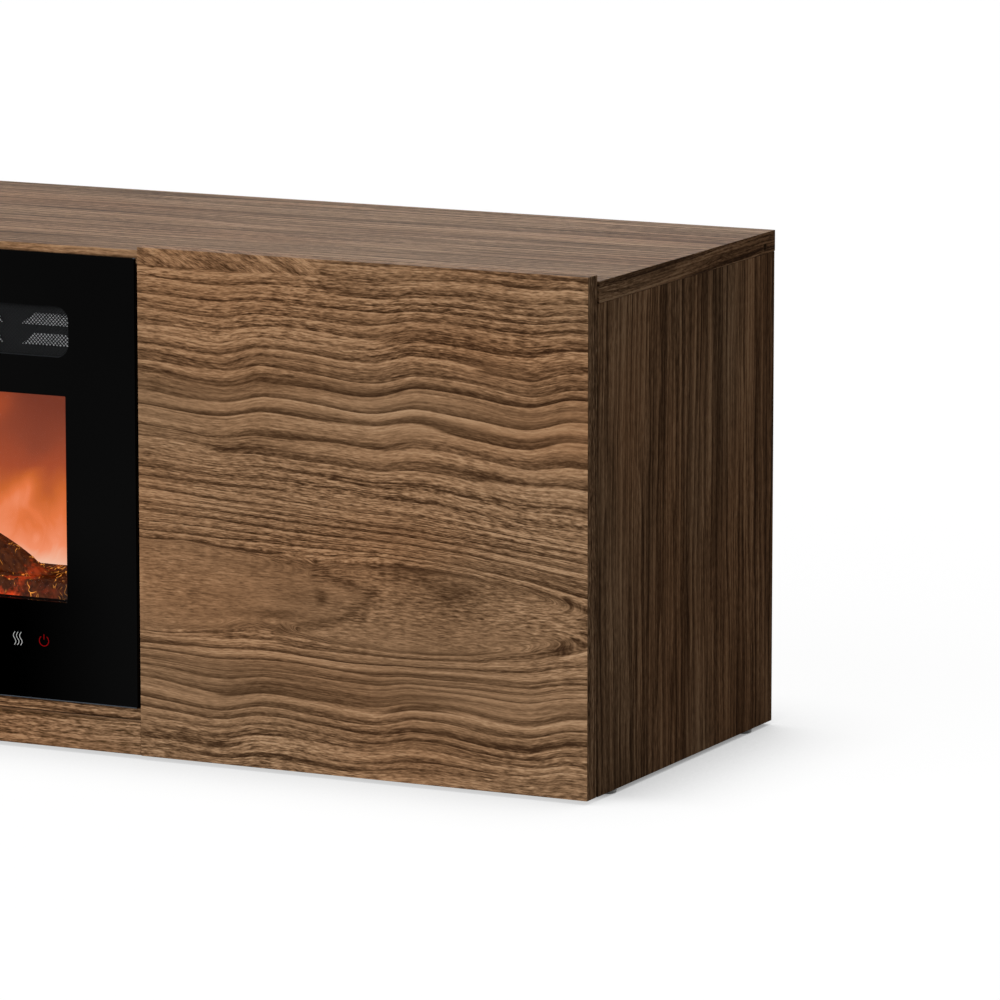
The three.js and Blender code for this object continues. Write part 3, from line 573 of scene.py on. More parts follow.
    def rings(self, at: Grain) -> Field:
        """Bend the across direction so that its level lines are the growth rings.

        Args:
            at: The point.

        Returns:
            The ring coordinate, in metres.
        """
        bent = at.across + at.swing(2.4, 3.2, 2.2) * self.sway + at.swing(14.0, 16.0, 6.1, detail=1.0) * 0.004
        for slope in self.slopes:
            fall = (at.along - slope.pivot) * slope.fall
            bent = bent + fall * at.across.bell(slope.middle, slope.half_height)
        if self.belts:
            wander = at.swing(1.5, 9.0, 8.3, detail=1.0) * 0.035
            phase = ((at.along - self.first_dip + wander) / self.wave_length).fraction()
            swell = phase.span(0.0, 0.3) * (1.0 - phase.span(0.4, 1.0))
            reach = at.across * 0.0
            for belt in self.belts:
                reach = reach.larger(at.across.bell(belt.middle + belt.lift, belt.half_height * belt.spread))
            bent = bent - swell * reach * self.wave_height
        for lens, oval in self.ovals(at, 1.0):
            near = ((1.0 - oval) * 0.8).exponential().smaller(1.0)
            bent = (bent - lens.across) * (1.0 - near) + lens.across
        return bent

    def line(self, at: Grain, rings: Field, width: float, seed: float) -> Field:
        """Draw lines that start dark, grow paler, and end in a thin light edge.

        Args:
            at: The point.
            rings: The ring coordinate.
            width: The width of one line.
            seed: Where the lines' drift is read.

        Returns:
            Negative where dark and positive where light.
        """
        drift = at.paint.noise(at.along * 2.5, rings * 40.0, seed)
        saw = (rings / width + drift * 2.6).fraction()
        return saw.span(-0.1, 0.72) * (1.0 - saw.span(0.94, 1.0)) + saw.bell(0.9, 0.05) * 0.22 - 0.6

    def figure(self, at: Grain, rings: Field) -> tuple[Field, Field]:
        """Lay the lines, streaks and flecks over the rings, and open the ovals.

        Args:
            at: The point.
            rings: The ring coordinate.

        Returns:
            The tone, from 0, darkest, to 1, lightest, and the broad bands in it.
        """
        paint, along, across, smooth = at.paint, at.along, at.across, at.smooth
        bands = paint.noise(along * 1.6, rings * 34.0, detail=3.0, rough=0.6)
        strong = paint.noise(along * 3.0, rings * 60.0, 7.7, detail=1.0).span(0.3, 0.7, 0.4, 1.0)
        wide = self.line(at, rings, self.wide_line, 3.1) * strong * (smooth * 0.22 + 0.33)
        fine = self.line(at, rings, self.fine_line, 6.3) * (1.3 - strong) * (0.48 - smooth * 0.32)
        thread = paint.swing(along * 6.0, rings * self.streak_pitch, 2.9, rough=0.6)
        lines = wide + fine + (bands - 0.5) * 0.95 + thread * (1.0 - smooth * 0.4) * self.streaks
        rough = 1.0 - smooth * 0.7
        opened = across * 0.0
        rims = across * 0.0
        for lens, oval in self.ovals(at, 0.62):
            inside = oval.span(0.72, 1.2, 1.0, 0.0)
            rim = oval.bell(1.0, 0.13) * 0.22 + oval.bell(0.55, 0.12) * lens.calm * 0.06
            rims = rims + rim * (1.0 - opened)
            rough = rough * (1.0 - inside * (1.0 - opened) * lens.calm * 0.55)
            opened = opened.larger(inside)
        flow = rings * (1.0 - opened) + across * opened
        patch = at.noise(9.0, 26.0, 9.3).span(0.35, 0.65, 0.5, 1.15)
        fleck = paint.swing(along * 80.0, flow * 560.0, rough=0.7)
        dash = paint.swing(along * 150.0, flow * 950.0, 5.5, detail=1.0)
        speckle = (fleck * rough * patch * 2.0 + dash * (rough * 0.7 + 0.12)) * self.flecks
        cloud = at.swing(16.0, 70.0, 2.6) * opened * 0.34
        return lines * (1.0 - opened * 0.86) + cloud + speckle - rims + opened * 0.07 + 0.5, bands

    def patched(self, at: Grain, value: Field, bands: Field) -> Field:
        """Add the darker, paler and hatched patches.

        Args:
            at: The point.
            value: The tone without them.
            bands: The broad bands, which the hatching follows.

        Returns:
            The tone with them.
        """
        for spot in self.spots:
            place = at.along.bell(spot.along, spot.half_length)
            value = value + place * at.across.bell(spot.across, spot.half_height) * spot.change
        for hatch in self.hatches:
            height = hatch.half_height
            rise = (at.across - hatch.across).size().span(height * 0.85, height, 1.0, 0.0)
            place = at.along.bell(hatch.along, hatch.half_length).span(0.3, 0.5) * rise
            drop = at.along * 0.5 + at.across + bands * 0.012
            fine = at.paint.swing(drop * 620.0, at.along * 110.0, 1.1, rough=0.7)
            broad = at.paint.swing(drop * 130.0, at.along * 14.0, 4.1, detail=1.0)
            value = value * (1.0 - place * 0.8) + place * (fine * 1.5 + broad * 1.3 + 0.5)
        return value


# Other finishes


@dataclass(frozen=True)
class FibreBoard:
    """Thin fibre board with a printed brown face."""

    name: str = "fibre_board"
    light: Colour = srgb("8a6c4e")
    dark: Colour = srgb("6f543b")

    def build(self) -> bpy.types.Material:
        """Make the material.

        Returns:
            The material.
        """
        paint = Paint.material(self.name)
        x, y, z = paint.place()
        fibres = paint.noise(x * 60.0, y * 60.0, z * 900.0, detail=4.0, rough=0.7)
        clouds = paint.noise(x * 9.0, y * 9.0, z * 9.0, detail=3.0)
        return paint.finish(
            Base_Color=paint.ramp(fibres * 0.6 + clouds * 0.4, (0.35, self.dark), (0.65, self.light)),
            Roughness=fibres.span(0.3, 0.7, 0.7, 0.85), Specular_IOR_Level=0.3,
            Normal=paint.bump(fibres, 0.1 * MM, 0.6))


@dataclass(frozen=True)
class Coating:
    """Any plain opaque finish with a fine texture: powder coat, moulded plastic, plated or satin metal.

    Attributes:
        grain_size: The width of the texture's grains.
        stretch: How much longer the grains are along x than across, as on brushed metal.
        relief: How deep the texture is.
        spread: How far its tones lie from the main one.
    """

    name: str
    tone: Colour
    metallic: float = 0.0
    roughness: float = 0.5
    grain_size: float = 0.6 * MM
    stretch: float = 1.0
    relief: float = 0.05 * MM
    specular: float = 0.5
    spread: float = 0.12

    def build(self) -> bpy.types.Material:
        """Make the material.

        Returns:
            The material.
        """
        paint = Paint.material(self.name)
        x, y, z = paint.place()
        x = x / self.stretch
        grain = paint.noise(x, y, z, 1.0 / self.grain_size, 3.0, 0.6)
        cloud = paint.noise(x, y, z, 14.0, 3.0)
        low, high = shade(self.tone, 1.0 - self.spread), shade(self.tone, 1.0 + self.spread)
        rough = (grain * 0.5 + cloud * 0.5).span(0.3, 0.7, self.roughness * 0.85, self.roughness * 1.15)
        return paint.finish(
            Base_Color=paint.ramp(cloud * 0.6 + grain * 0.4, (0.35, low), (0.65, high)),
            Metallic=self.metallic, Roughness=rough, Specular_IOR_Level=self.specular,
            Normal=paint.bump(grain, self.relief, 0.7))


@dataclass(frozen=True)
class Louvre:
    """Satin aluminium slats that stand out of a near-black plate, whose front is at plate_front. The slats
    are coloured paler than satin aluminium: painted light that makes up for the mesh's shadow on them.
    """

    name: str = "louvre"
    slat_tone_with_painted_light: Colour = srgb("c9cbcd")
    plate_tone: Colour = srgb("101011")
    plate_front: float = -0.1846

    def build(self) -> bpy.types.Material:
        """Make the material.

        Returns:
            The material.
        """
        paint = Paint.material(self.name)
        x, y, z = paint.place()
        brushed = paint.noise(x * 90.0, y * 1200.0, z * 1200.0)
        # The slats' pale colour is painted light, lifted to make up for the shadow that the mesh casts on
        # them.
        slats = paint.ramp(brushed, (0.3, shade(self.slat_tone_with_painted_light, 0.9)), (0.7, self.slat_tone_with_painted_light))
        return paint.finish(
            Base_Color=paint.mix(y.above(self.plate_front), slats, self.plate_tone),
            Roughness=brushed.span(0.3, 0.7, 0.42, 0.55), Specular_IOR_Level=0.2,
            Normal=paint.bump(brushed, 0.02 * MM, 0.6))


@dataclass(frozen=True)
class PrintedGlass:
    """Polished tempered glass with a black print behind it; below the window's middle it is pure black with
    its reflection switched off, a painted shade.
    """

    name: str = "printed_glass"
    near: Colour = srgb("060606")
    far: Colour = srgb("030303")
    gloss: float = 0.022

    def build(self) -> bpy.types.Material:
        """Make the material.

        Returns:
            The material.
        """
        paint = Paint.material(self.name)
        x, y, z = paint.place()
        haze = paint.ramp(paint.noise(x, y, z, 3.0), (0.35, self.far), (0.65, self.near))
        smear = paint.noise(x * 2.0, y, z * 7.0, 9.0, 4.0)
        # Zero below the window's middle, where the colour turns pure black and the reflection is switched
        # off: a painted shade.
        clear = 1.0 - z.span(0.13, 0.23, 1.0, 0.0) * (1.0 - x.size().span(0.15, 0.30))
        return paint.finish(
            Base_Color=paint.mix(clear, BLACK, haze), Roughness=smear.span(0.3, 0.8, 0.05, 0.09),
            Specular_IOR_Level=clear * self.gloss)


@dataclass(frozen=True)
class WindowGlass:
    """The clear, slightly grey part of the glass in front of the fire."""

    name: str = "window_glass"
    tint: Colour = srgb("060606")
    gloss: float = 0.03
    opacity: float = 0.07

    def build(self) -> bpy.types.Material:
        """Make the material.

        Returns:
            The material.
        """
        paint = Paint.material(self.name)
        x, y, z = paint.place()
        smear = paint.noise(x * 2.0, y, z * 7.0, 9.0, 4.0)
        return paint.finish(
            Base_Color=self.tint, Roughness=smear.span(0.3, 0.8, 0.04, 0.08), Specular_IOR_Level=self.gloss,
            Alpha=self.opacity)


@dataclass(frozen=True)
class Plume:
    """A soft, leaning tongue of flame on the screen, or a dim gap where its strength is negative."""

    x: float
    z: float
    half_length: float
    half_width: float
    lean: float
    strength: float


@dataclass(frozen=True)
class FlameGlow:
    """A frosted screen with soft flames, from pale pink at its foot to dim rust at its top.

    Attributes:
        foot: The height where the flames start.
        rise: How far up the colours reach.
        tones: The colours, from the foot up.
        plumes: The tongues that stand out.
    """

    name: str = "flame_glow"
    screen: Colour = srgb("140b08")
    foot: float = 0.155
    rise: float = 0.17
    strength: float = 1.06
    tones: tuple[tuple[float, Colour], ...] = (
        (0.02, srgb("fbc4a8")), (0.1, srgb("f9946a")), (0.22, srgb("ea7942")), (0.37, srgb("cf662b")),
        (0.54, srgb("a84a28")), (0.76, srgb("8d4028")), (0.95, srgb("7a3725")))
    plumes: tuple[Plume, ...] = (
        Plume(0.108, 0.224, 0.034, 0.011, 46.0, 0.22), Plume(0.152, 0.222, 0.040, 0.012, 84.0, 0.11),
        Plume(0.082, 0.306, 0.034, 0.018, 50.0, 0.34), Plume(0.128, 0.262, 0.030, 0.014, 78.0, -0.09),
        Plume(0.030, 0.250, 0.060, 0.020, 72.0, 0.36), Plume(-0.040, 0.235, 0.055, 0.016, 105.0, 0.30),
        Plume(-0.105, 0.228, 0.044, 0.013, 70.0, 0.24), Plume(-0.165, 0.215, 0.036, 0.012, 98.0, 0.16),
        Plume(0.205, 0.205, 0.030, 0.012, 100.0, 0.12), Plume(-0.005, 0.300, 0.040, 0.014, 60.0, 0.22))

    def build(self) -> bpy.types.Material:
        """Make the material.

        Returns:
            The material.
        """
        paint = Paint.material(self.name)
        x, _, z = paint.place()
        height = (z - self.foot) / self.rise
        broad = paint.swing(x * 9.0, z * 6.0, 1.3)
        warp = paint.swing(x * 22.0, z * 16.0, 3.7)
        wisps = paint.swing(x * 34.0 + warp * 5.0, z * 9.0 + broad * 3.0, 5.2, detail=3.0)
        level = height - broad * 0.22 - wisps * height.bell(0.32, 0.3) * 0.34
        for plume in self.plumes:
            c, s = math.cos(math.radians(plume.lean)), math.sin(math.radians(plume.lean))
            u = ((x - plume.x) * c + (z - plume.z) * s) / plume.half_length + warp * 0.6
            v = ((z - plume.z) * c - (x - plume.x) * s) / plume.half_width + warp * 1.2
            level = level - ((u * u + v * v) * -1.0).exponential() * plume.strength
        return paint.finish(
            Base_Color=self.screen, Roughness=0.6, Specular_IOR_Level=0.1,
            Emission_Color=paint.ramp(level, *self.tones), Emission_Strength=self.strength)


@dataclass(frozen=True)
class Smoulder:
    """Charred wood or coal with glowing cracks, brightest low down and towards the middle.

    Attributes:
        char: The colour of the cold surface.
        ash: The colour of its raised edges.
        low: The height where the glow is strongest.
        high: The height where it has died away.
        reach: How far to each side it glows.
    """

    name: str
    char: Colour
    ash: Colour
    low: float
    high: float
    reach: float
    fade: float = 0.022
    cold_dark: Colour = srgb("0f0d0d")
    cold_light: Colour = srgb("2e2a2a")
    haze_tone: Colour = srgb("b4501e")
    coal_tone: Colour = srgb("f24716")
    vein_tone: Colour = (1.8, 0.66, 0.10)

    def build(self) -> bpy.types.Material:
        """Make the material.

        Returns:
            The glowing material.
        """
        paint = Paint.material(self.name)
        x, y, z = paint.place()
        bend = paint.swing(x, y, z, scale=40.0)
        aside = x.size()
        fall = z * 26.0 + y * 14.0 - aside * 10.0 + bend * 2.2
        net = paint.cells(aside * 120.0 + z * 50.0 + bend * 2.6, y * 24.0, fall, 1.0)
        fibre = paint.noise(aside * 260.0 + z * 110.0 + bend * 8.0, y * 200.0, fall)
        lump = paint.noise(x, y, z, 110.0, 4.0, 0.6)
        inner = aside.span(self.reach - self.fade, self.reach, 1.0, 0.0)
        brown = paint.ramp(fibre * 0.5 + lump * 0.5, (0.36, self.char), (0.66, self.ash))
        slate = paint.ramp(lump, (0.3, self.cold_dark), (0.7, self.cold_light))
        warm = z.span(self.low, self.high, 1.0, 0.16) * inner
        patch = paint.noise(x, y, z, 60.0).span(0.45, 0.6)
        veins = net.span(0.0, 0.042, 1.0, 0.0) * patch * (warm * 0.5 + inner * 0.3 + 0.06)
        coals = paint.noise(x, y, z, 42.0, 3.0, 0.6) + fibre * 0.2 + paint.attribute("hollow") * 0.05
        bed = (coals + warm * 0.24 - 0.34).span(0.42, 0.66) * warm * warm * aside.span(0.13, 0.175, 1.4, 0.2)
        haze = (lump * 0.8 + fibre * 0.7) * (inner * 0.85 + 0.15) * 0.12
        fire = BLACK
        for share, tone in ((haze, self.haze_tone), (bed, self.coal_tone), (veins, self.vein_tone)):
            fire = paint.mix(share, fire, tone, "ADD")
        return paint.finish(
            Base_Color=paint.mix(inner, slate, brown), Roughness=lump.span(0.3, 0.7, 0.65, 0.9),
            Specular_IOR_Level=0.06, Normal=paint.bump(fibre * 0.5 + lump * 0.5, 0.7 * MM, 0.8),
            Emission_Color=fire, Emission_Strength=1.0)


@dataclass(frozen=True)
class Lamp:
    """A lit symbol or diode."""

    name: str
    tone: Colour
    strength: float

    def build(self) -> bpy.types.Material:
        """Make the material.

        Returns:
            The material.
        """
        paint = Paint.material(self.name)
        even = paint.noise(*paint.place(), 500.0, 1.0)
        return paint.finish(
            Base_Color=shade(self.tone, 0.03), Roughness=0.5, Specular_IOR_Level=0.0,
            Emission_Color=paint.ramp(even, (0.35, shade(self.tone, 0.85)), (0.65, self.tone)),
            Emission_Strength=self.strength)


@dataclass(frozen=True)
class CircuitLacquer:
    """Green lacquered circuit board with paler copper tracks."""

    name: str = "circuit_lacquer"
    lacquer: Colour = srgb("1d4a33")
    track: Colour = srgb("3d7a52")

    def build(self) -> bpy.types.Material:
        """Make the material.

        Returns:
            The material.
        """
        paint = Paint.material(self.name)
        tracks = paint.cells(*paint.place(), 190.0).span(0.05, 0.09, 1.0, 0.0)
        return paint.finish(
            Base_Color=paint.mix(tracks, self.lacquer, self.track), Roughness=0.35,
            Normal=paint.bump(tracks, 0.05 * MM))


class Finishes:
    """Every finish that more than one piece shares, built when first asked for."""

    kinds = {
        "fibre": FibreBoard(),
        "nickel": Coating("nickel_plate", srgb("b6b7b9"), metallic=1.0, roughness=0.3, relief=0.01 * MM),
        "zinc": Coating("zinc_plate", srgb("a3a5a8"), metallic=1.0, roughness=0.42, relief=0.02 * MM),
        "powder": Coating("black_powder_coat", srgb("1b1c1e"), roughness=0.6, specular=0.3),
        "wire": Coating("black_wire", srgb("1d1e1f"), roughness=0.6, specular=0.03, grain_size=0.4 * MM),
        "louvre": Louvre(),
        "black_moulding": Coating("black_moulding", srgb("151515"), specular=0.3),
        "frame_moulding": Coating("frame_moulding", srgb("0a0a0a"), roughness=0.8, specular=0.02),
        "grey_moulding": Coating("grey_moulding", srgb("85888b")),
        "clear_moulding": Coating("milky_moulding", srgb("dcdcda"), specular=0.2),
        "white_moulding": Coating("white_moulding", srgb("c9cac6"), roughness=0.45),
        "brown_moulding": Coating("brown_moulding", srgb("6b5240")),
        "glass": PrintedGlass(),
        # Grey strip on the glass's foot: a painted highlight of the polished edge.
        "foot_edge_highlight": Coating(
            "polished_edge_painted_highlight", srgb("40454b"), roughness=0.3, specular=0.06, relief=0.0),
        # Grey lining in the slot: a painted highlight of its polished edge.
        "slot_edge_highlight": Coating("slot_edge_painted_highlight", srgb("26282a"), roughness=0.4, specular=0.02, relief=0.0),
        "window": WindowGlass(),
        "flame": FlameGlow(),
        "circuit": CircuitLacquer(),
        "chip": Coating("chip_resin", srgb("202124"), roughness=0.45),
        "copper": Coating("copper_winding", srgb("a8683c"), metallic=0.8, roughness=0.35, stretch=8.0),
        "white_light": Lamp("white_symbol", srgb("bcbebe"), 0.9),
        "red_light": Lamp("red_symbol", srgb("90070a"), 1.0),
        "faint_light": Lamp("faint_symbol", srgb("9b9ea0"), 0.8),
        "diode": Lamp("amber_diode", srgb("ffb060"), 1.6),
    }
    made: dict[str, bpy.types.Material] = {}

    @classmethod
    def get(cls, key: str) -> bpy.types.Material:
        """Give a shared finish.

        Args:
            key: Its short name.

        Returns:
            Its material.
        """
        if key not in cls.made:
            cls.made[key] = cls.kinds[key].build()
        return cls.made[key]


Finish = str | bpy.types.Material


# Shapes


UPRIGHT = Matrix(((1, 0, 0, 0), (0, 0, -1, 0), (0, 1, 0, 0), (0, 0, 0, 1)))


def in_mm(*points: tuple[float, float]) -> Outline:
    """Give points that are written in millimetres in metres."""
    return [(u * MM, v * MM) for u, v in points]


def facing(place: Point | Vector, outward: Point | Vector, spin: float = 0.0) -> Matrix:
    """Place a shape with its own z pointing outward, and turn it about that axis."""
    turn = Vector(outward).to_track_quat("Z", "Y").to_matrix().to_4x4()
    return Matrix.Translation(Vector(place)) @ turn @ Matrix.Rotation(spin, 4, "Z")


def standing(y: float) -> Matrix:
    """Place a flat shape upright, with its own z to the front from this y."""
    return Matrix.Translation((0, y, 0)) @ UPRIGHT


def circle(radius: float, sides: int) -> Outline:
    """Give the corners of a regular outline."""
    return [(radius * math.cos(TURN * i / sides), radius * math.sin(TURN * i / sides)) for i in range(sides)]


def rounded(low: tuple[float, float], high: tuple[float, float], radius: float, steps: int = 6) -> Outline:
    """Give the outline of a rectangle with round corners.

    Args:
        low: Its lower left corner.
        high: Its upper right corner.
        radius: The corners' radius.
        steps: How many edges each corner has.

    Returns:
        The outline's points, turning left.
    """
    corners = (
        (high[0] - radius, low[1] + radius, -TURN / 4), (high[0] - radius, high[1] - radius, 0.0),
        (low[0] + radius, high[1] - radius, TURN / 4), (low[0] + radius, low[1] + radius, TURN / 2))
    angles = [TURN / 4 * i / steps for i in range(steps + 1)]
    return [(x + radius * math.cos(start + angle), y + radius * math.sin(start + angle))
            for x, y, start in corners for angle in angles]


def with_neighbours(points: Sequence, closed: bool) -> Iterator[tuple]:
    """Give each point of a path with the one before it and the one after it.

    Args:
        points: The path.
        closed: Whether it runs back into its start.

    Yields:
        The point before, the point and the point after. An open path's ends stand in for missing ones.
    """
    count = len(points)
    for i, point in enumerate(points):
        after = points[(i + 1) % count] if closed else points[min(i + 1, count - 1)]
        yield (points[i - 1] if closed or i else points[0]), point, after


class Form:
    """The mesh of one piece while it is made."""

    def __init__(self) -> None:
        """Start with nothing."""
        self.mesh = bmesh.new()

    def corners(self, points: Iterable[Point | Vector], at: Matrix = Matrix.Identity(4)) -> list[Vert]:
        """Add points, moved by a matrix."""
        return [self.mesh.verts.new(at @ Vector(point)) for point in points]

    def ring(self, outline: Outline, height: float, at: Matrix) -> list[Vert]:
        """Add an outline's points at one height."""
        return self.corners([(x, y, height) for x, y in outline], at)

    def box(self, low: Point, high: Point, at: Matrix = Matrix.Identity(4)) -> None:
        """Add a block.

        Args:
            low: Its lowest corner.
            high: Its highest corner.
            at: Where it is placed.
        """
        spots = [(x, y, z) for x in (low[0], high[0]) for y in (low[1], high[1]) for z in (low[2], high[2])]
        verts = self.corners(spots, at)
        for face in ((0, 1, 3, 2), (4, 6, 7, 5), (0, 4, 5, 1), (2, 3, 7, 6), (0, 2, 6, 4), (1, 5, 7, 3)):
            self.mesh.faces.new([verts[i] for i in face])

    def join(self, lower: Sequence[Vert], upper: Sequence[Vert]) -> None:
        """Add the wall between two closed loops, of as many points or of one point on one side.

        Args:
            lower: The first loop.
            upper: The second loop.
        """
        for i in range(max(len(lower), len(upper))):
            a, b = lower[i % len(lower)], lower[(i + 1) % len(lower)]
            c, d = upper[(i + 1) % len(upper)], upper[i % len(upper)]
            self.mesh.faces.new(list(dict.fromkeys((a, b, c, d))))

    def turned(self, profile: Sequence[tuple[float, float]], at: Matrix, sides: int = 24) -> None:
        """Add a turned shape.

        Args:
            profile: Its radius and height at each ring, from the foot up. Radius zero closes it.
            at: Where it stands, with its axis along z.
            sides: How many sides its rings have.
        """
        below: list[Vert] = []
        for radius, height in profile:
            ring = self.ring([(0.0, 0.0)] if radius <= 0 else circle(radius, sides), height, at)
            if below:
                self.join(below, ring)
            below = ring

    def plate(self, outline: Outline, low: float, high: float, at: Matrix,
              holes: Sequence[Outline] = ()) -> None:
        """Add a flat plate with holes.

        Args:
            outline: Its edge.
            low: The height of its lower face.
            high: The height of its upper face.
            at: Where it lies, with its thickness along z.
            holes: The edges of its holes.
        """
        loops = [outline, *holes]
        faces = [self.flat(loops, [self.ring(loop, height, at) for loop in loops]) for height in (low, high)]
        for lower, upper in zip(*faces):
            self.join(lower, upper)

    def flat(self, loops: Sequence[Outline], rings: list[list[Vert]]) -> list[list[Vert]]:
        """Fill the face between an outer loop and the loops in it.

        Args:
            loops: The loops' outlines, the outer one first.
            rings: The points along them.

        Returns:
            The same rings.
        """
        verts = [vert for ring in rings for vert in ring]
        for triangle in tessellate_polygon([[Vector((x, y, 0.0)) for x, y in loop] for loop in loops]):
            self.mesh.faces.new([verts[i] for i in triangle])
        return rings

    def tube(self, points: Sequence[Vector], radius: float, sides: int) -> None:
        """Add a round bar along a path that runs back into its start.

        Args:
            points: The path.
            radius: The bar's radius.
            sides: How many sides it has.
        """
        outline = circle(radius, sides)
        rings = [self.ring(outline, 0.0, facing(point, after - before))
                 for before, point, after in with_neighbours(points, closed=True)]
        for lower, upper in zip(rings, rings[1:] + rings[:1]):
            self.join(lower, upper)

    def piece(self, name: str, slot: str, finish: Finish, body: str = "root", replaces: Sequence[str] = (),
              soften: float = 0.0, smooth: bool = True) -> None:
        """Turn the mesh into a piece of the object.

        Args:
            name: The piece's name.
            slot: The record's material slot; not used.
            finish: Its finish, or a shared finish's short name.
            body: The body that it moves with.
            replaces: The solid nodes that it stands for.
            soften: How far its edges are rounded.
            smooth: Whether its round faces are shaded smooth.
        """
        bmesh.ops.recalc_face_normals(self.mesh, faces=self.mesh.faces)
        data = bpy.data.meshes.new(name)
        self.mesh.to_mesh(data)
        self.mesh.free()
        if smooth:
            data.shade_smooth()
            data.set_sharp_from_angle(angle=math.radians(35))
        made = bpy.data.objects.new(name, data)
        bpy.context.scene.collection.objects.link(made)
        coat(made, finish, soften)
        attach(made, body)
        if replaces:
            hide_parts(*replaces)
        log.info("made %s", name)


def coat(piece: bpy.types.Object, finish: Finish, soften: float) -> None:
    """Give a piece its finish and round its sharp edges.

    Args:
        piece: The piece.
        finish: Its finish, or a shared finish's short name.
        soften: How far its edges are rounded.
    """
    piece.data.materials.append(Finishes.get(finish) if isinstance(finish, str) else finish)
    if soften:
        bevel = piece.modifiers.new("soft_edges", "BEVEL")
        bevel.width = soften
        bevel.segments = 2
        bevel.limit_method = "ANGLE"
        bevel.angle_limit = math.radians(40)


def dress(finish: Finish, soften: float, *nodes: str) -> None:
    """Give solid nodes their finish and soften their edges.

    Args:
        finish: Their finish, or a shared finish's short name.
        soften: How far their edges are rounded.
        nodes: The nodes' names.
    """
    for node in nodes:
        solid = frame["nodes"][node]
        solid.data.materials.clear()
        solid.modifiers.new("weld", "WELD").merge_threshold = 0.005 * MM
        coat(solid, finish, soften)
        log.info("dressed %s", node)


@dataclass(frozen=True)
class Screw:
    """A cross-head screw: its head stands on a face, and its recess is cut into the head.

    Attributes:
        arm: How far the recess reaches, as a share of the radius.
        slot: Half the recess's width, as such a share.
        crown: The flat top's radius, as such a share.
        rims: The head's rings below its top, as shares of its radius and height.
    """

    radius: float
    height: float
    arm: float = 0.55
    slot: float = 0.14
    crown: float = 0.74
    sides: int = 16
    rims: tuple[tuple[float, float], ...] = ((1.0, 0.0), (1.0, 0.3), (0.9, 0.72))

    def add(self, form: Form, place: Point | Vector, outward: Point | Vector, spin: float) -> None:
        """Add one screw head.

        Args:
            form: The mesh that takes it.
            place: The middle of its seat.
            outward: Where the head points.
            spin: How far its recess is turned.
        """
        at = facing(place, outward, spin)
        arm, half = self.radius * self.arm, self.radius * self.slot
        quarters = ((1, 0), (0, 1), (-1, 0), (0, -1))
        corners = ((arm, -half), (arm, half), (half, half))
        cross = [(x * u - y * v, x * v + y * u) for u, v in quarters for x, y in corners]
        crown = circle(self.radius * self.crown, self.sides)
        rims = [form.ring(circle(self.radius * share, self.sides), self.height * level, at)
                for share, level in self.rims]
        loops = (crown, cross)
        top, edge = form.flat(loops, [form.ring(loop, self.height, at) for loop in loops])
        floor = form.ring([(x * 0.7, y * 0.7) for x, y in cross], self.height * 0.25, at)
        for lower, upper in zip((*rims, edge), (*rims[1:], top, floor)):
            form.join(lower, upper)
        form.mesh.faces.new(floor)
        form.mesh.faces.new(rims[0])


# Studio


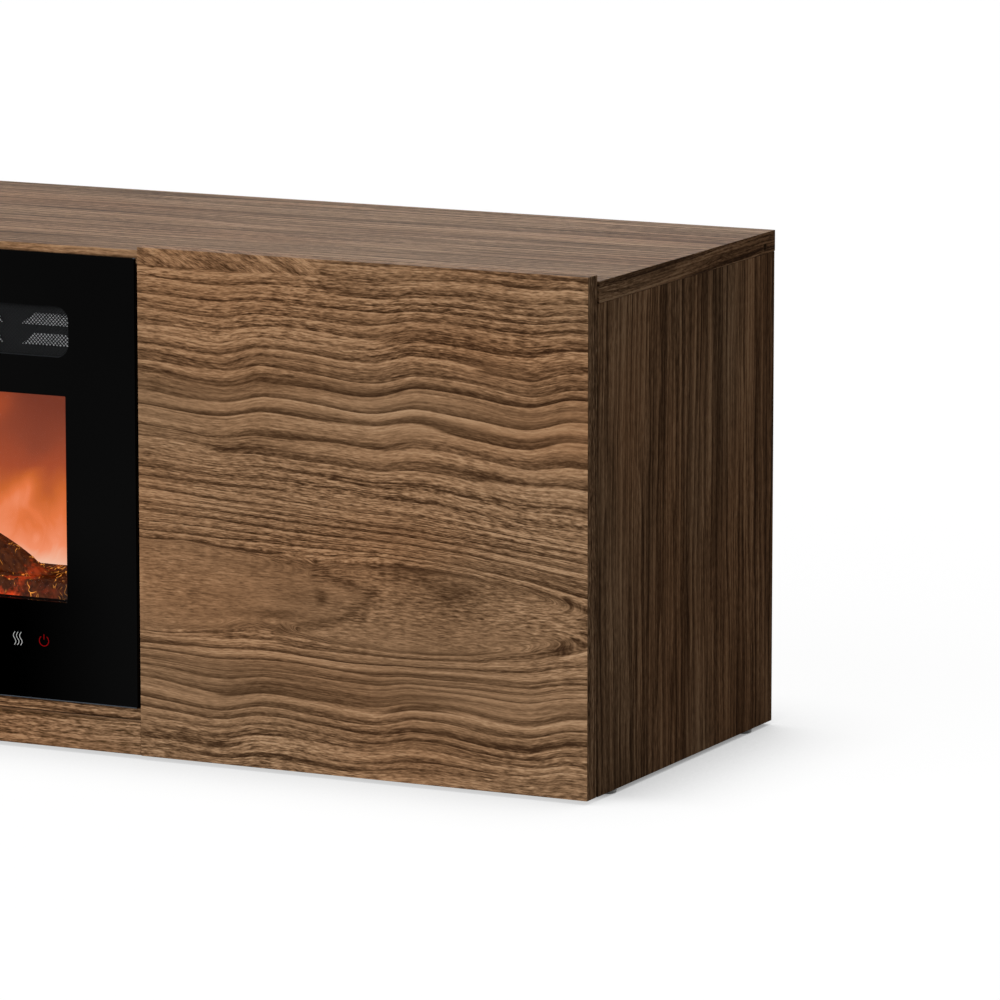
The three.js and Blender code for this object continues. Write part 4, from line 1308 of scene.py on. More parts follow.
@dataclass
class Studio:
    """The floor, the white surroundings, the lights and the camera.

    Attributes:
        key_from: Where the main light comes from.
        back_from: Where the light on the back comes from.
        surround: How much the white surroundings light matt surfaces.
        floor_glow: How much of the floor's white is its own.
        floor_matt: How pale the floor's matt part is.
        floor_bounce: The floor's colour for the rays that only carry light.
        shade_reach: How far from the object its soft shade on the floor reaches.
        shade_least: How bright the floor stays in the deepest shade.
        front: Where the floor before the object starts, along y.
        front_share: How much of the shade is left there, as the main light comes from the front.
    """

    camera_place: Point = (3.4643, -5.9119, 1.3685)
    camera_yaw: float = 26.066
    camera_pitch: float = 9.768
    camera_lens: float = 256.26
    sensor: float = 36.0
    floor_size: float = 60.0
    key_from: Point = (-0.38, -0.80, 0.46)
    key_level: float = 1.0
    key_width: float = 50.0
    back_from: Point = (0.0, 1.0, 0.15)
    back_level: float = 0.3
    back_width: float = 60.0
    surround: float = 0.19
    floor_glow: float = 0.965
    floor_matt: float = 0.06
    floor_bounce: Colour = (0.25, 0.245, 0.24)
    shade_reach: float = 0.15
    shade_least: float = 0.24
    front: float = -0.19
    front_share: float = 0.5

    def build(self) -> None:
        """Make everything that isn't part of the object."""
        self.camera()
        self.world()
        self.floor()
        self.lamp("key_light", self.key_from, self.key_level, self.key_width)
        self.lamp("back_light", self.back_from, self.back_level, self.back_width)
        bpy.context.scene.view_settings.view_transform = "Standard"

    def put(self, name: str, data: bpy.types.ID) -> bpy.types.Object:
        """Link a new object to the scene.

        Args:
            name: Its name.
            data: Its camera, light or mesh.

        Returns:
            The object.
        """
        made = bpy.data.objects.new(name, data)
        bpy.context.scene.collection.objects.link(made)
        return made

    def camera(self) -> None:
        """Place the camera at the photograph's viewing angle."""
        data = bpy.data.cameras.new("camera")
        data.sensor_width = self.sensor
        data.lens = self.camera_lens
        data.clip_end = self.floor_size * 2
        camera = self.put("camera", data)
        camera.location = self.camera_place
        camera.rotation_euler = (math.radians(90 - self.camera_pitch), 0.0, math.radians(self.camera_yaw))
        bpy.context.scene.camera = camera

    def seen(self, paint: Paint) -> Field:
        """Tell the rays that see a thing from those that only carry light.

        Args:
            paint: The builder of the nodes that ask.

        Returns:
            One for camera, mirror and glass rays, and zero for the others.
        """
        path = paint.node("ShaderNodeLightPath")
        rays = [Field(paint, path.outputs[f"Is {kind} Ray"]) for kind in ("Camera", "Glossy", "Transmission")]
        return rays[0].larger(rays[1]).larger(rays[2])

    def world(self) -> None:
        """Surround the object with white, dimmer for the light on matt surfaces."""
        paint = Paint(bpy.data.worlds.new("surroundings"))
        strength = self.seen(paint).span(0.0, 1.0, self.surround, 1.0)
        background = paint.node("ShaderNodeBackground", {"Color": WHITE, "Strength": strength})
        paint.node("ShaderNodeOutputWorld", {0: Field(paint, background.outputs[0])})
        bpy.context.scene.world = paint.owner

    def floor(self) -> None:
        """Lay a pale floor that keeps the object's shadow."""
        paint = Paint.material("pale_floor")
        seen = self.seen(paint)
        grain = paint.noise(*paint.place(), 3.0)
        pale = paint.mix(grain, (self.floor_matt,) * 3, (self.floor_matt * 1.02,) * 3)
        near = paint.node("ShaderNodeAmbientOcclusion", {"Distance": self.shade_reach}, samples=6)
        shadow = 1.0 - Field(paint, near.outputs["AO"]).span(0.0, 1.0, self.shade_least, 1.0)
        before = paint.place()[1].span(self.front - 0.004, self.front + 0.05, self.front_share, 1.0)
        material = paint.finish(
            Base_Color=paint.mix(seen, self.floor_bounce, pale), Roughness=0.9, Specular_IOR_Level=0.0,
            Emission_Color=WHITE, Emission_Strength=seen * (1.0 - shadow * before) * self.floor_glow)
        half = self.floor_size / 2
        corners = [(-half, -half, 0), (half, -half, 0), (half, half, 0), (-half, half, 0)]
        mesh = bpy.data.meshes.new("floor")
        mesh.from_pydata(corners, [], [(0, 1, 2, 3)])
        mesh.materials.append(material)
        self.put("floor", mesh)

    def lamp(self, name: str, direction: Point, level: float, width: float) -> None:
        """Add a wide, even light.

        Args:
            name: The light's name.
            direction: Where it comes from.
            level: How brightly it lights a white surface that faces it.
            width: How wide it looks from the object, in degrees.
        """
        data = bpy.data.lights.new(name, "SUN")
        data.energy = level * math.pi
        data.angle = math.radians(width)
        self.put(name, data).rotation_euler = Vector(direction).to_track_quat("Z", "Y").to_euler()


# Cabinet


@dataclass
class Cabinet:
    """The boards with their foil, and the small parts that hold them together.

    Attributes:
        edge: How far the boards' edges are rounded.
        door_face: How far the doors' faces lie before the part's middle.
        nosing_set_back: From the fascia's face to the strip on the bottom board.
        cable_hole: The cable holes' radius.
        plug_in: From the top's back edge to its plug's middle.
        plug_rise: From the top's lower face to it.
        seam_in: From a board's face to the screws over the middle of its edge.
        screw_rows: How many screws each seam has.
    """

    edge: float = 0.45 * MM
    panel_edge: float = 0.2 * MM
    door_face: float = 0.2055
    nosing_set_back: float = 6.2 * MM
    nosing_gap: float = 1.1 * MM
    nosing_stand: float = 0.9 * MM
    glide_dish: float = 0.9 * MM
    cable_hole: float = 30 * MM
    grommet_gap: float = 0.2 * MM
    grommet_lip: float = 4 * MM
    grommet_wall: float = 1.6 * MM
    grommet_flange: float = 1.2 * MM
    plug_in: float = 23.4 * MM
    plug_rise: float = 6.2 * MM
    seam_in: float = 5 * MM
    outer_seam_in: float = 8 * MM
    screw_end: float = 12 * MM
    screw_rows: int = 5
    panel_screw: Screw = Screw(3.4 * MM, 1.4 * MM)

    def build(self) -> None:
        """Dress every board and add the small parts."""
        self.boards()
        self.nosing()
        for side in SIDES:
            for place in ("front", "rear", "middle"):
                self.glide(f"{side}_{place}_glide")
        for side in SIDES:
            self.grommet(side)
        self.back_screws()

    def right_door_foil(self) -> WalnutFoil:
        """Give the right door's foil, whose figure follows the photograph's.

        Returns:
            The foil.
        """
        return WalnutFoil(
            "walnut_right_door", Axis.X, Axis.Z, (0.0, self.door_face), first_dip=0.384,
            belts=(Belt(0.347, 0.050, 0.024, 1.6), Belt(0.083, 0.048, -0.004, 1.5)),
            lenses=(Lens(0.305, 0.171, 0.182, 0.041, 1.0), Lens(0.580, 0.165, 0.145, 0.039, 0.3)),
            slopes=(Slope(0.248, 0.045, 0.53, 0.075),),
            spots=(
                Spot(0.491, 0.170, 0.006, 0.009, -0.28), Spot(0.484, 0.188, 0.005, 0.012, -0.16),
                Spot(0.452, 0.150, 0.028, 0.005, -0.18), Spot(0.623, 0.182, 0.026, 0.013, -0.24),
                Spot(0.590, 0.197, 0.030, 0.007, -0.14), Spot(0.300, 0.176, 0.004, 0.020, 0.14)),
            hatches=(Hatch(0.375, 0.484, 0.115, 0.018),))

    def boards(self) -> None:
        """Give each board its own cut of the foil."""
        low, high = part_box("top_panel")
        foils = {
            ("right_door_panel",): self.right_door_foil(),
            ("left_door_panel",): WalnutFoil(
                "walnut_left_door", Axis.X, Axis.Z, (1.06, self.door_face), first_dip=0.33,
                belts=(Belt(0.405, 0.048), Belt(0.110, 0.055, -0.015)),
                lenses=(Lens(0.56, 0.245, 0.150, 0.036, 0.9), Lens(0.27, 0.262, 0.120, 0.030, 0.2)),
                slopes=(Slope(0.33, 0.03, 0.53, 0.05),), spots=(Spot(0.60, 0.240, 0.020, 0.009, -0.2),)),
            ("top_panel",): WalnutFoil(
                "walnut_top", Axis.X, Axis.Y, (0.3, 1.7), streaks=1.3, flecks=0.6, contrast=0.98, gloss=0.060,
                lenses=(Lens(0.62, 1.70, 0.24, 0.030, 0.4), Lens(-0.05, 1.78, 0.22, 0.034, 0.4)),
                plugs=(Plug(high.y - self.plug_in, low.z + self.plug_rise),)),
            ("bottom_panel",): WalnutFoil("walnut_bottom", Axis.X, Axis.Y, (0.9, 2.3)),
            ("fascia_rail",): WalnutFoil(
                "walnut_fascia", Axis.X, Axis.Z, (0.5, 3.1), deepest=srgb("42301f"), dark=srgb("634a32"),
                middle=srgb("82644a"), light=srgb("9f7d5e")),
            ("left_side_panel", "right_side_panel"): WalnutFoil(
                "walnut_upright", Axis.Z, Axis.Y, (0.4, 4.2), wide_line=0.030, fine_line=0.0125, sway=0.016,
                streaks=1.35, streak_pitch=330.0, flecks=0.5, contrast=0.94, gloss=0.004,
                lenses=(Lens(0.72, 4.335, 0.20, 0.016, 0.5), Lens(0.55, 4.215, 0.16, 0.012, 0.4))),
            ("left_divider", "right_divider"): WalnutFoil("walnut_inner", Axis.Z, Axis.Y, (1.3, 7.7)),
            ("left_shelf", "right_shelf"): WalnutFoil("walnut_shelf", Axis.X, Axis.Y, (1.9, 5.3)),
            ("front_plinth_rail", "rear_plinth_rail", "left_plinth_stay", "right_plinth_stay"): WalnutFoil(
                "walnut_plinth", Axis.X, Axis.Y, (2.4, 6.5)),
        }
        for nodes, foil in foils.items():
            dress(foil.build(), self.edge, *nodes)
        dress("fibre", self.panel_edge, *(f"{place}_back_panel" for place in ("left", "centre", "right")))

    def nosing(self) -> None:
        """Edge the bottom board with a strip between the fascia and the glass."""
        fascia_low, fascia_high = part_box("fascia_rail")
        board_low, board_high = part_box("bottom_panel")
        form = Form()
        form.box(
            (fascia_low.x + 0.2 * MM, fascia_low.y + self.nosing_set_back, fascia_high.z + self.nosing_gap),
            (fascia_high.x - 0.2 * MM, board_low.y - 0.1 * MM, board_high.z + self.nosing_stand))
        foil = bpy.data.materials["walnut_bottom"]
        form.piece("bottom_board_nosing", "walnut_board", foil, soften=0.4 * MM, smooth=False)

    def glide(self, node: str) -> None:
        """Turn a plastic foot, with its nail's head in a hollow below.

        Args:
            node: The solid that it stands for.
        """
        low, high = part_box(node)
        middle = (low + high) / 2
        radius, top = middle.x - low.x, high.z
        profile = (
            (0.0, self.glide_dish), (radius * 0.3, self.glide_dish), (radius * 0.34, 0.0),
            (radius * 0.82, 0.0), (radius * 0.94, 0.5 * MM), (radius, 1.4 * MM), (radius, top - 0.3 * MM),
            (radius * 0.97, top), (0.0, top))
        form = Form()
        form.turned(profile, Matrix.Translation((middle.x, middle.y, 0)), 36)
        form.piece(node + "_round", "black_plastic", "clear_moulding", replaces=[node])

    def grommet(self, side: str) -> None:
        """Line a cable hole with a plastic ring.

        Args:
            side: Left or right.
        """
        found = next(o for o in frame["record"]["physics"]["openings"] if o["name"] == f"{side}_cable_hole")
        middle = (Vector(found["box_m"][0]) + Vector(found["box_m"][1])) / 2
        low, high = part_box(f"{side}_back_panel")
        hole = self.cable_hole - self.grommet_gap
        lip, bore = hole + self.grommet_lip, hole - self.grommet_wall
        front, back = low.y, high.y
        inner = front - self.grommet_flange
        profile = (
            (bore, inner), (lip, inner), (lip, front), (hole, front), (hole, back), (lip, back),
            (lip - 1 * MM, back + 1.3 * MM), (hole, back + 1.5 * MM), (bore, back + 0.8 * MM), (bore, inner))
        form = Form()
        form.turned(profile, facing((middle.x, 0.0, middle.z), BACKWARD), 48)
        form.piece(f"{side}_cable_grommet", "black_plastic", "black_moulding")

    def back_screws(self) -> None:
        """Screw the thin back panels to the boards' edges."""
        low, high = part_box("centre_back_panel")
        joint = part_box("right_divider")
        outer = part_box("right_side_panel")[0].x - self.outer_seam_in
        seams = (joint[0].x + self.seam_in, joint[1].x - self.seam_in)
        reach = high.z - low.z - 2 * self.screw_end
        rises = [low.z + self.screw_end + reach * i / (self.screw_rows - 1) for i in range(self.screw_rows)]
        spots = [(x, z) for x in (*seams, outer) for z in rises]
        spots += [(seams[1] + (outer - seams[1]) * share, z) for share in (0.33, 0.67)
                  for z in (low.z + 5 * MM, high.z - 6 * MM)]
        form = Form()
        for hand in SIDES.values():
            for x, z in spots:
                self.panel_screw.add(form, (hand * x, high.y + 0.05 * MM, z), BACKWARD, x * 90 + z * 50)
        form.piece("back_panel_screws", "hinge_steel", "zinc")


# Doors


@dataclass
class Door:
    """One door with its hinges, its strike plate and its push latch.

    Attributes:
        side: Left or right.
        hand: Minus one on the left and one on the right.
        wing_y: Where the middle of the hinge arms' plates lies.
        cup_wall: The thickness of the hinge cup's sheet.
        flange_half: Half the width of the cup's flange.
    """

    side: str
    hand: int
    wing_y: float = -147.5 * MM
    screw: Screw = Screw(3.6 * MM, 1.2 * MM)
    small_screw: Screw = Screw(2.6 * MM, 1.0 * MM)
    cup_wall: float = 1.2 * MM
    cup_screw_rise: float = 21 * MM
    wing_screw_rise: float = 19 * MM
    flange_half: float = 12 * MM
    flange_corner: float = 6 * MM
    flange_inset: float = 0.6 * MM
    wing_top: float = 1.6 * MM
    block_top: float = 6.5 * MM
    arm_top: float = 9.4 * MM
    plug_in: float = 9.5 * MM
    plug_rise: float = 8.5 * MM
    plug: tuple[tuple[float, float], ...] = ((0.0, -4.0), (3.4, -4.0), (3.6, -0.5), (3.2, 0.0), (0.0, 0.05))

    def build(self) -> None:
        """Build the door's small parts and dress its solids."""
        door_screws, carcass_screws = Form(), Form()
        for level in ("lower", "upper"):
            self.cup(f"{self.side}_{level}_hinge_cup", door_screws)
            self.arm(f"{self.side}_{level}_hinge_arm", carcass_screws)
        self.latch(door_screws, carcass_screws)
        self.edge_plug()
        door_screws.piece(f"{self.side}_door_screws", "hinge_steel", "zinc", f"{self.side}_door")
        carcass_screws.piece(f"{self.side}_fixing_screws", "hinge_steel", "zinc")

    def cup(self, node: str, screws: Form) -> None:
        """Press a round hinge cup into the door, with a flange that has round ends.

        Args:
            node: The solid that it stands for.
            screws: The mesh that takes its screws.
        """
        low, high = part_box(node)
        middle = (low + high) / 2
        radius = (high.x - low.x) / 2
        face, depth = high.y, high.y - low.y
        wall = self.cup_wall
        bore = radius - wall - 0.4 * MM
        at = facing((middle.x, face, middle.z), BACKWARD)
        form = Form()
        form.turned((
            (0.0, -depth), (radius - 1.5 * MM, -depth), (radius, -depth + 1.5 * MM), (radius, -0.3 * MM),
            (radius - 0.3 * MM, 0.0), (radius - wall, 0.0), (bore, -0.5 * MM), (bore, -depth + 2.2 * MM),
            (bore - 1.2 * MM, -depth + wall), (0.0, -depth + wall)), at, 48)
        for hand in (-1, 1):
            wing = self.flange_wing((high.z - low.z) / 2, radius - self.flange_inset, hand)
            form.plate(wing, -1.0 * MM, -0.15 * MM, at)
        form.piece(node + "_pressed", "hinge_steel", "nickel", f"{self.side}_door", [node])
        for rise in (-self.cup_screw_rise, self.cup_screw_rise):
            self.screw.add(screws, (middle.x, face - 0.15 * MM, middle.z + rise), BACKWARD, rise * 60)

    def flange_wing(self, half: float, radius: float, hand: int) -> Outline:
        """Give one wing of the cup's flange, which stops at the round cup.

        Args:
            half: Half the whole flange's height.
            radius: The cup's radius.
            hand: Minus one for the lower wing and one for the upper one.

        Returns:
            The wing's outline.
        """
        whole = rounded((-self.flange_half, -half), (self.flange_half, half), self.flange_corner)
        outside = [p for p in whole if p[1] * hand > radius * 0.75]
        width = max(abs(x) for x, _ in outside)
        reach = [width - 2 * width * i / 12 for i in range(13)]
        points = outside + [(x, hand * math.sqrt(radius ** 2 - x ** 2)) for x in reach]
        middle = sum((Vector(point) for point in points), Vector((0.0, 0.0))) / len(points)
        return sorted(points, key=lambda p: math.atan2(p[1] - middle.y, p[0] - middle.x))

    def arm(self, node: str, screws: Form) -> None:
        """Build the hinge's fixed half: winged plate, channelled arm, nose and adjusting screws.

        Args:
            node: The solid that it stands for.
            screws: The mesh that takes its screws.
        """
        low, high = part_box(node)
        wall_x = high.x if self.hand > 0 else low.x
        rise = (low.z + high.z) / 2
        front, back = (low.y - self.wing_y) / MM, (high.y - self.wing_y) / MM
        inward = (-self.hand, 0, 0)
        at = facing((wall_x, self.wing_y, rise), inward)
        # Each flat plate: its corners and corner radius in millimetres, and its start and end off the wall
        plates = (
            (-6, -26, 6, 26, 5.5, 0.0, self.wing_top), (-20, -8, 20, 8, 2.5, self.wing_top, self.block_top),
            (front + 1, -7, back, 7, 2.2, 8 * MM, self.arm_top),
            (front + 1.5, -7, back - 1, -5.6, 0.5, self.block_top, 12.6 * MM),
            (front + 1.5, 5.6, back - 1, 7, 0.5, self.block_top, 12.6 * MM),
            (front, -6.2, front + 9, 6.2, 2.5, 8.6 * MM, 12.8 * MM))
        form = Form()
        for left, foot, right, top, corner, near, far in plates:
            outline = rounded((left, foot), (right, top), corner)
            form.plate(in_mm(*((-self.hand * y, z) for y, z in outline)), near, far, at)
        form.piece(node + "_pressed", "hinge_steel", "nickel", replaces=[node], soften=0.25 * MM)
        for lift in (-self.wing_screw_rise, self.wing_screw_rise):
            place = (wall_x - self.hand * self.wing_top, self.wing_y, rise + lift)
            self.screw.add(screws, place, inward, lift * 60)
        for y in (-8 * MM, 9 * MM):
            place = (wall_x - self.hand * self.arm_top, self.wing_y + y, rise)
            self.small_screw.add(screws, place, inward, y * 90)

    def latch(self, door_screws: Form, carcass_screws: Form) -> None:
        """Dress the push latch and its strike plate, turn the plunger, and screw them on.

        Args:
            door_screws: The mesh that takes the strike plate's screw.
            carcass_screws: The mesh that takes the latch's screws.
        """
        dress("grey_moulding", 0.8 * MM, f"{self.side}_latch_body")
        dress("nickel", 0.3 * MM, f"{self.side}_strike_plate")
        node = f"{self.side}_latch_plunger"
        low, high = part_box(node)
        middle = (low + high) / 2
        radius, length = middle.x - low.x, high.y - low.y
        form = Form()
        form.turned((
            (0.0, 0.0), (radius * 0.75, 0.0), (radius, 0.8 * MM), (radius, 5 * MM), (radius * 0.9, 5.6 * MM),
            (radius * 0.9, length), (0.0, length)), facing((middle.x, low.y, middle.z), BACKWARD), 32)
        form.piece(node + "_round", "grey_plastic", "white_moulding", node, [node])
        low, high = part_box(f"{self.side}_latch_body")
        for share in (0.35, 0.85):
            place = ((low.x + high.x) / 2, low.y + (high.y - low.y) * share, low.z)
            self.small_screw.add(carcass_screws, place, DOWNWARD, share)
        low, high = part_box(f"{self.side}_strike_plate")
        self.small_screw.add(door_screws, ((low.x + high.x) / 2, high.y, low.z + 4.2 * MM), BACKWARD, 0.4)

    def edge_plug(self) -> None:
        """Set a small plug in the lower end of the door's outer edge."""
        low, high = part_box(f"{self.side}_door_panel")
        edge = (high.x if self.hand > 0 else low.x) - self.hand * 0.1 * MM
        at = facing((edge, high.y - self.plug_in, low.z + self.plug_rise), (self.hand, 0, 0))
        form = Form()
        form.turned(in_mm(*self.plug), at, 28)
        form.piece(f"{self.side}_door_plug", "walnut_board", "brown_moulding", f"{self.side}_door")


# Fireplace


@dataclass
class FireplaceFront:
    """The black glass with its window and slot, the mesh, the louvres and the touch symbols.

    Attributes:
        window_side: From the glass's side to the window.
        window_top: From the glass's top to the window.
        window_foot: From the glass's foot to the window.
        slot_side: From the glass's side to the warm-air slot.
        slot_top: From the glass's top to the slot.
        slot_lining: How thick the slot's polished edge is; its grey lining is a painted highlight.
        mesh_rim: How wide the mesh's rim is.
        wire_pitch: Between two wires of the mesh.
        symbol_rise: From the glass's foot to the symbols' middle.
        symbol_side: From the glass's side to the last symbol.
        symbol_line: Half the width of the symbols' lines.
        symbol_stand: How far the symbols stand off the glass.
    """

    window_side: float = 74.3 * MM
    window_top: float = 134.6 * MM
    window_foot: float = 94.2 * MM
    window_corner: float = 0.6 * MM
    slot_side: float = 70.4 * MM
    slot_top: float = 50.3 * MM
    slot_height: float = 48 * MM
    slot_corner: float = 13 * MM
    slot_lining: float = 0.2 * MM
    glass_corner: float = 2 * MM
    foot_highlight_height: float = 0.9 * MM
    mesh_rim: float = 2.2 * MM
    mesh_corner: float = 16 * MM
    wire_pitch: float = 2.6 * MM
    wire_width: float = 0.95 * MM
    wire_depth: float = 0.35 * MM
    symbol_rise: float = 56.2 * MM
    symbol_pitch: float = 28.4 * MM
    symbol_side: float = 99.9 * MM
    symbol_line: float = 0.31 * MM
    symbol_stand: float = 0.06 * MM
    flame_half: tuple[tuple[float, float], ...] = (
        (0.0, 6.2), (1.0, 3.6), (2.6, 1.6), (3.6, -1.2), (2.8, -4.4), (0.0, -6.0))

    def __post_init__(self) -> None:
        """Take the glass's corners from the frame."""
        self.low, self.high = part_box("glass_front")

    def build(self) -> None:
        """Build the front."""
        self.glass()
        self.mesh()
        self.power_symbol()
        self.heat_symbol()
        self.other_symbols()
        dress("frame_moulding", 0.4 * MM, "front_frame")
        dress("louvre", 0.0, "outlet_louvres")

    def glass(self) -> None:
        """Cut the black border, the clear window pane and the polished edges, whose grey strip at the foot
        and grey slot lining are painted highlights.
        """
        low, high = self.low, self.high
        at = standing(high.y)
        thickness = high.y - low.y
        window = rounded(
            (low.x + self.window_side, low.z + self.window_foot),
            (high.x - self.window_side, high.z - self.window_top), self.window_corner, 2)
        slot, inner = (rounded(
            (low.x + self.slot_side + inset, high.z - self.slot_top - self.slot_height + inset),
            (high.x - self.slot_side - inset, high.z - self.slot_top - inset), self.slot_corner - inset, 10)
            for inset in (0.0, self.slot_lining))
        form = Form()
        outer = rounded((low.x, low.z), (high.x, high.z), self.glass_corner)
        form.plate(outer, 0.0, thickness, at, [window, slot])
        form.piece("printed_glass_border", "tinted_glass", "glass", replaces=["glass_front"],
                   soften=0.35 * MM)
        form = Form()
        form.plate(window, 0.3 * MM, thickness - 0.02 * MM, at)
        form.piece("clear_glass_window", "tinted_glass", "window", smooth=False)
        # A grey strip along the glass's foot, a painted highlight of its polished edge.
        form = Form()
        form.box((low.x + 1 * MM, low.y - 0.04 * MM, low.z),
                 (high.x - 1 * MM, low.y + 0.3 * MM, low.z + self.foot_highlight_height))
        form.piece("glass_foot_painted_highlight", "tinted_glass", "foot_edge_highlight", smooth=False)
        # A grey lining round the slot's cut face, a painted highlight of its polished edge.
        form = Form()
        form.plate(slot, 0.5 * MM, thickness - 0.5 * MM, at, [inner])
        form.piece("polished_slot_edge_highlight", "tinted_glass", "slot_edge_highlight")

    def mesh(self) -> None:
        """Weave the fine diagonal mesh behind the slot, in a thin rim."""
        low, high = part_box("vent_mesh")
        left, right = low.x + self.mesh_rim, high.x - self.mesh_rim
        foot, top = low.z + self.mesh_rim, high.z - self.mesh_rim
        step = self.wire_pitch * math.sqrt(2)
        height = top - foot
        half = self.wire_width / 2
        form = Form()
        for layer, lean in ((-1, 1), (0, -1)):
            near = (low.y + high.y) / 2 + layer * self.wire_depth
            turn = Matrix.Rotation(-lean * TURN / 8, 4, "Y")
            for i in range(int((right - left + height) / step)):
                start = left - height + (i + 0.5) * step
                begin, end = max(0.0, left - start), min(height, right - start)
                if end - begin < step / 2:
                    continue
                reach = (end - begin) * math.sqrt(2) / 2
                centre = start + (begin + end) / 2
                x = centre if lean > 0 else left + right - centre
                at = Matrix.Translation((x, near, foot + (begin + end) / 2)) @ turn
                form.box((-reach, 0.0, -half), (reach, self.wire_depth, half), at)
        outer = rounded((low.x, low.z), (high.x, high.z), self.mesh_corner)
        inner = rounded((left, foot), (right, top), self.mesh_corner - 2 * MM)
        form.plate(outer, 0.0, high.y - low.y, standing(high.y), [inner])
        form.piece("woven_vent_mesh", "black_steel", "wire", replaces=["vent_mesh"], smooth=False)

    def ribbon(self, form: Form, points: Outline, number: int, closed: bool = False) -> None:
        """Draw a line of even width on the glass.

        Args:
            form: The mesh that takes it.
            points: The line's points, from the symbol's middle.
            number: The symbol, counted from the right.
            closed: Whether it runs back into its start.
        """
        x = self.high.x - self.symbol_side - self.symbol_pitch * number
        z = self.low.z + self.symbol_rise
        near = self.low.y - self.symbol_stand
        rows = []
        for before, (u, v), after in with_neighbours(points, closed):
            run = Vector((after[0] - before[0], after[1] - before[1])).normalized() * self.symbol_line
            ends = ((x + u - run.y, near, z + v + run.x), (x + u + run.y, near, z + v - run.x))
            rows.append(form.corners(ends))
        for (a, b), (c, d) in zip(rows, rows[1:] + rows[:1] if closed else rows[1:]):
            form.mesh.faces.new((a, b, d, c))

    def power_symbol(self) -> None:
        """Draw the dark red power symbol."""
        angles = [math.radians(38 + 284 * i / 30) for i in range(31)]
        form = Form()
        self.ribbon(form, in_mm(*((5.0 * math.sin(a), 5.0 * math.cos(a)) for a in angles)), 0)
        self.ribbon(form, in_mm((0.0, 1.2), (0.0, 6.2)), 0)
        form.piece("power_symbol", "tinted_glass", "red_light", smooth=False)

    def heat_symbol(self) -> None:
        """Draw the three waves of the heat symbol."""
        form = Form()
        for offset in (-3.4, 0.0, 3.4):
            wave = [(offset + 1.35 * math.cos(TURN * 1.1 * i / 24 + 1.2), (0.5 - i / 24) * 12.6)
                    for i in range(25)]
            self.ribbon(form, in_mm(*wave), 1)
        form.piece("heat_symbol", "tinted_glass", "white_light", smooth=False)

    def other_symbols(self) -> None:
        """Draw a timer and a flame symbol, guessed, where the photograph is cut off."""
        form = Form()
        self.ribbon(form, [(v, u) for u, v in circle(4.6 * MM, 28)], 2, closed=True)
        self.ribbon(form, in_mm((0.0, 3.2), (0.0, 0.0), (2.2, -1.4)), 2)
        other_half = [(-u * 1.1, v) for u, v in reversed(self.flame_half[1:-1])]
        self.ribbon(form, in_mm(*self.flame_half, *other_half), 3, closed=True)
        form.piece("other_touch_symbols", "tinted_glass", "faint_light", smooth=False)


@dataclass(frozen=True)
class Wood:
    """One moulded log, placed by shares of the box that the whole pile fills."""

    start: Point
    end: Point
    radius: float
    bend: float


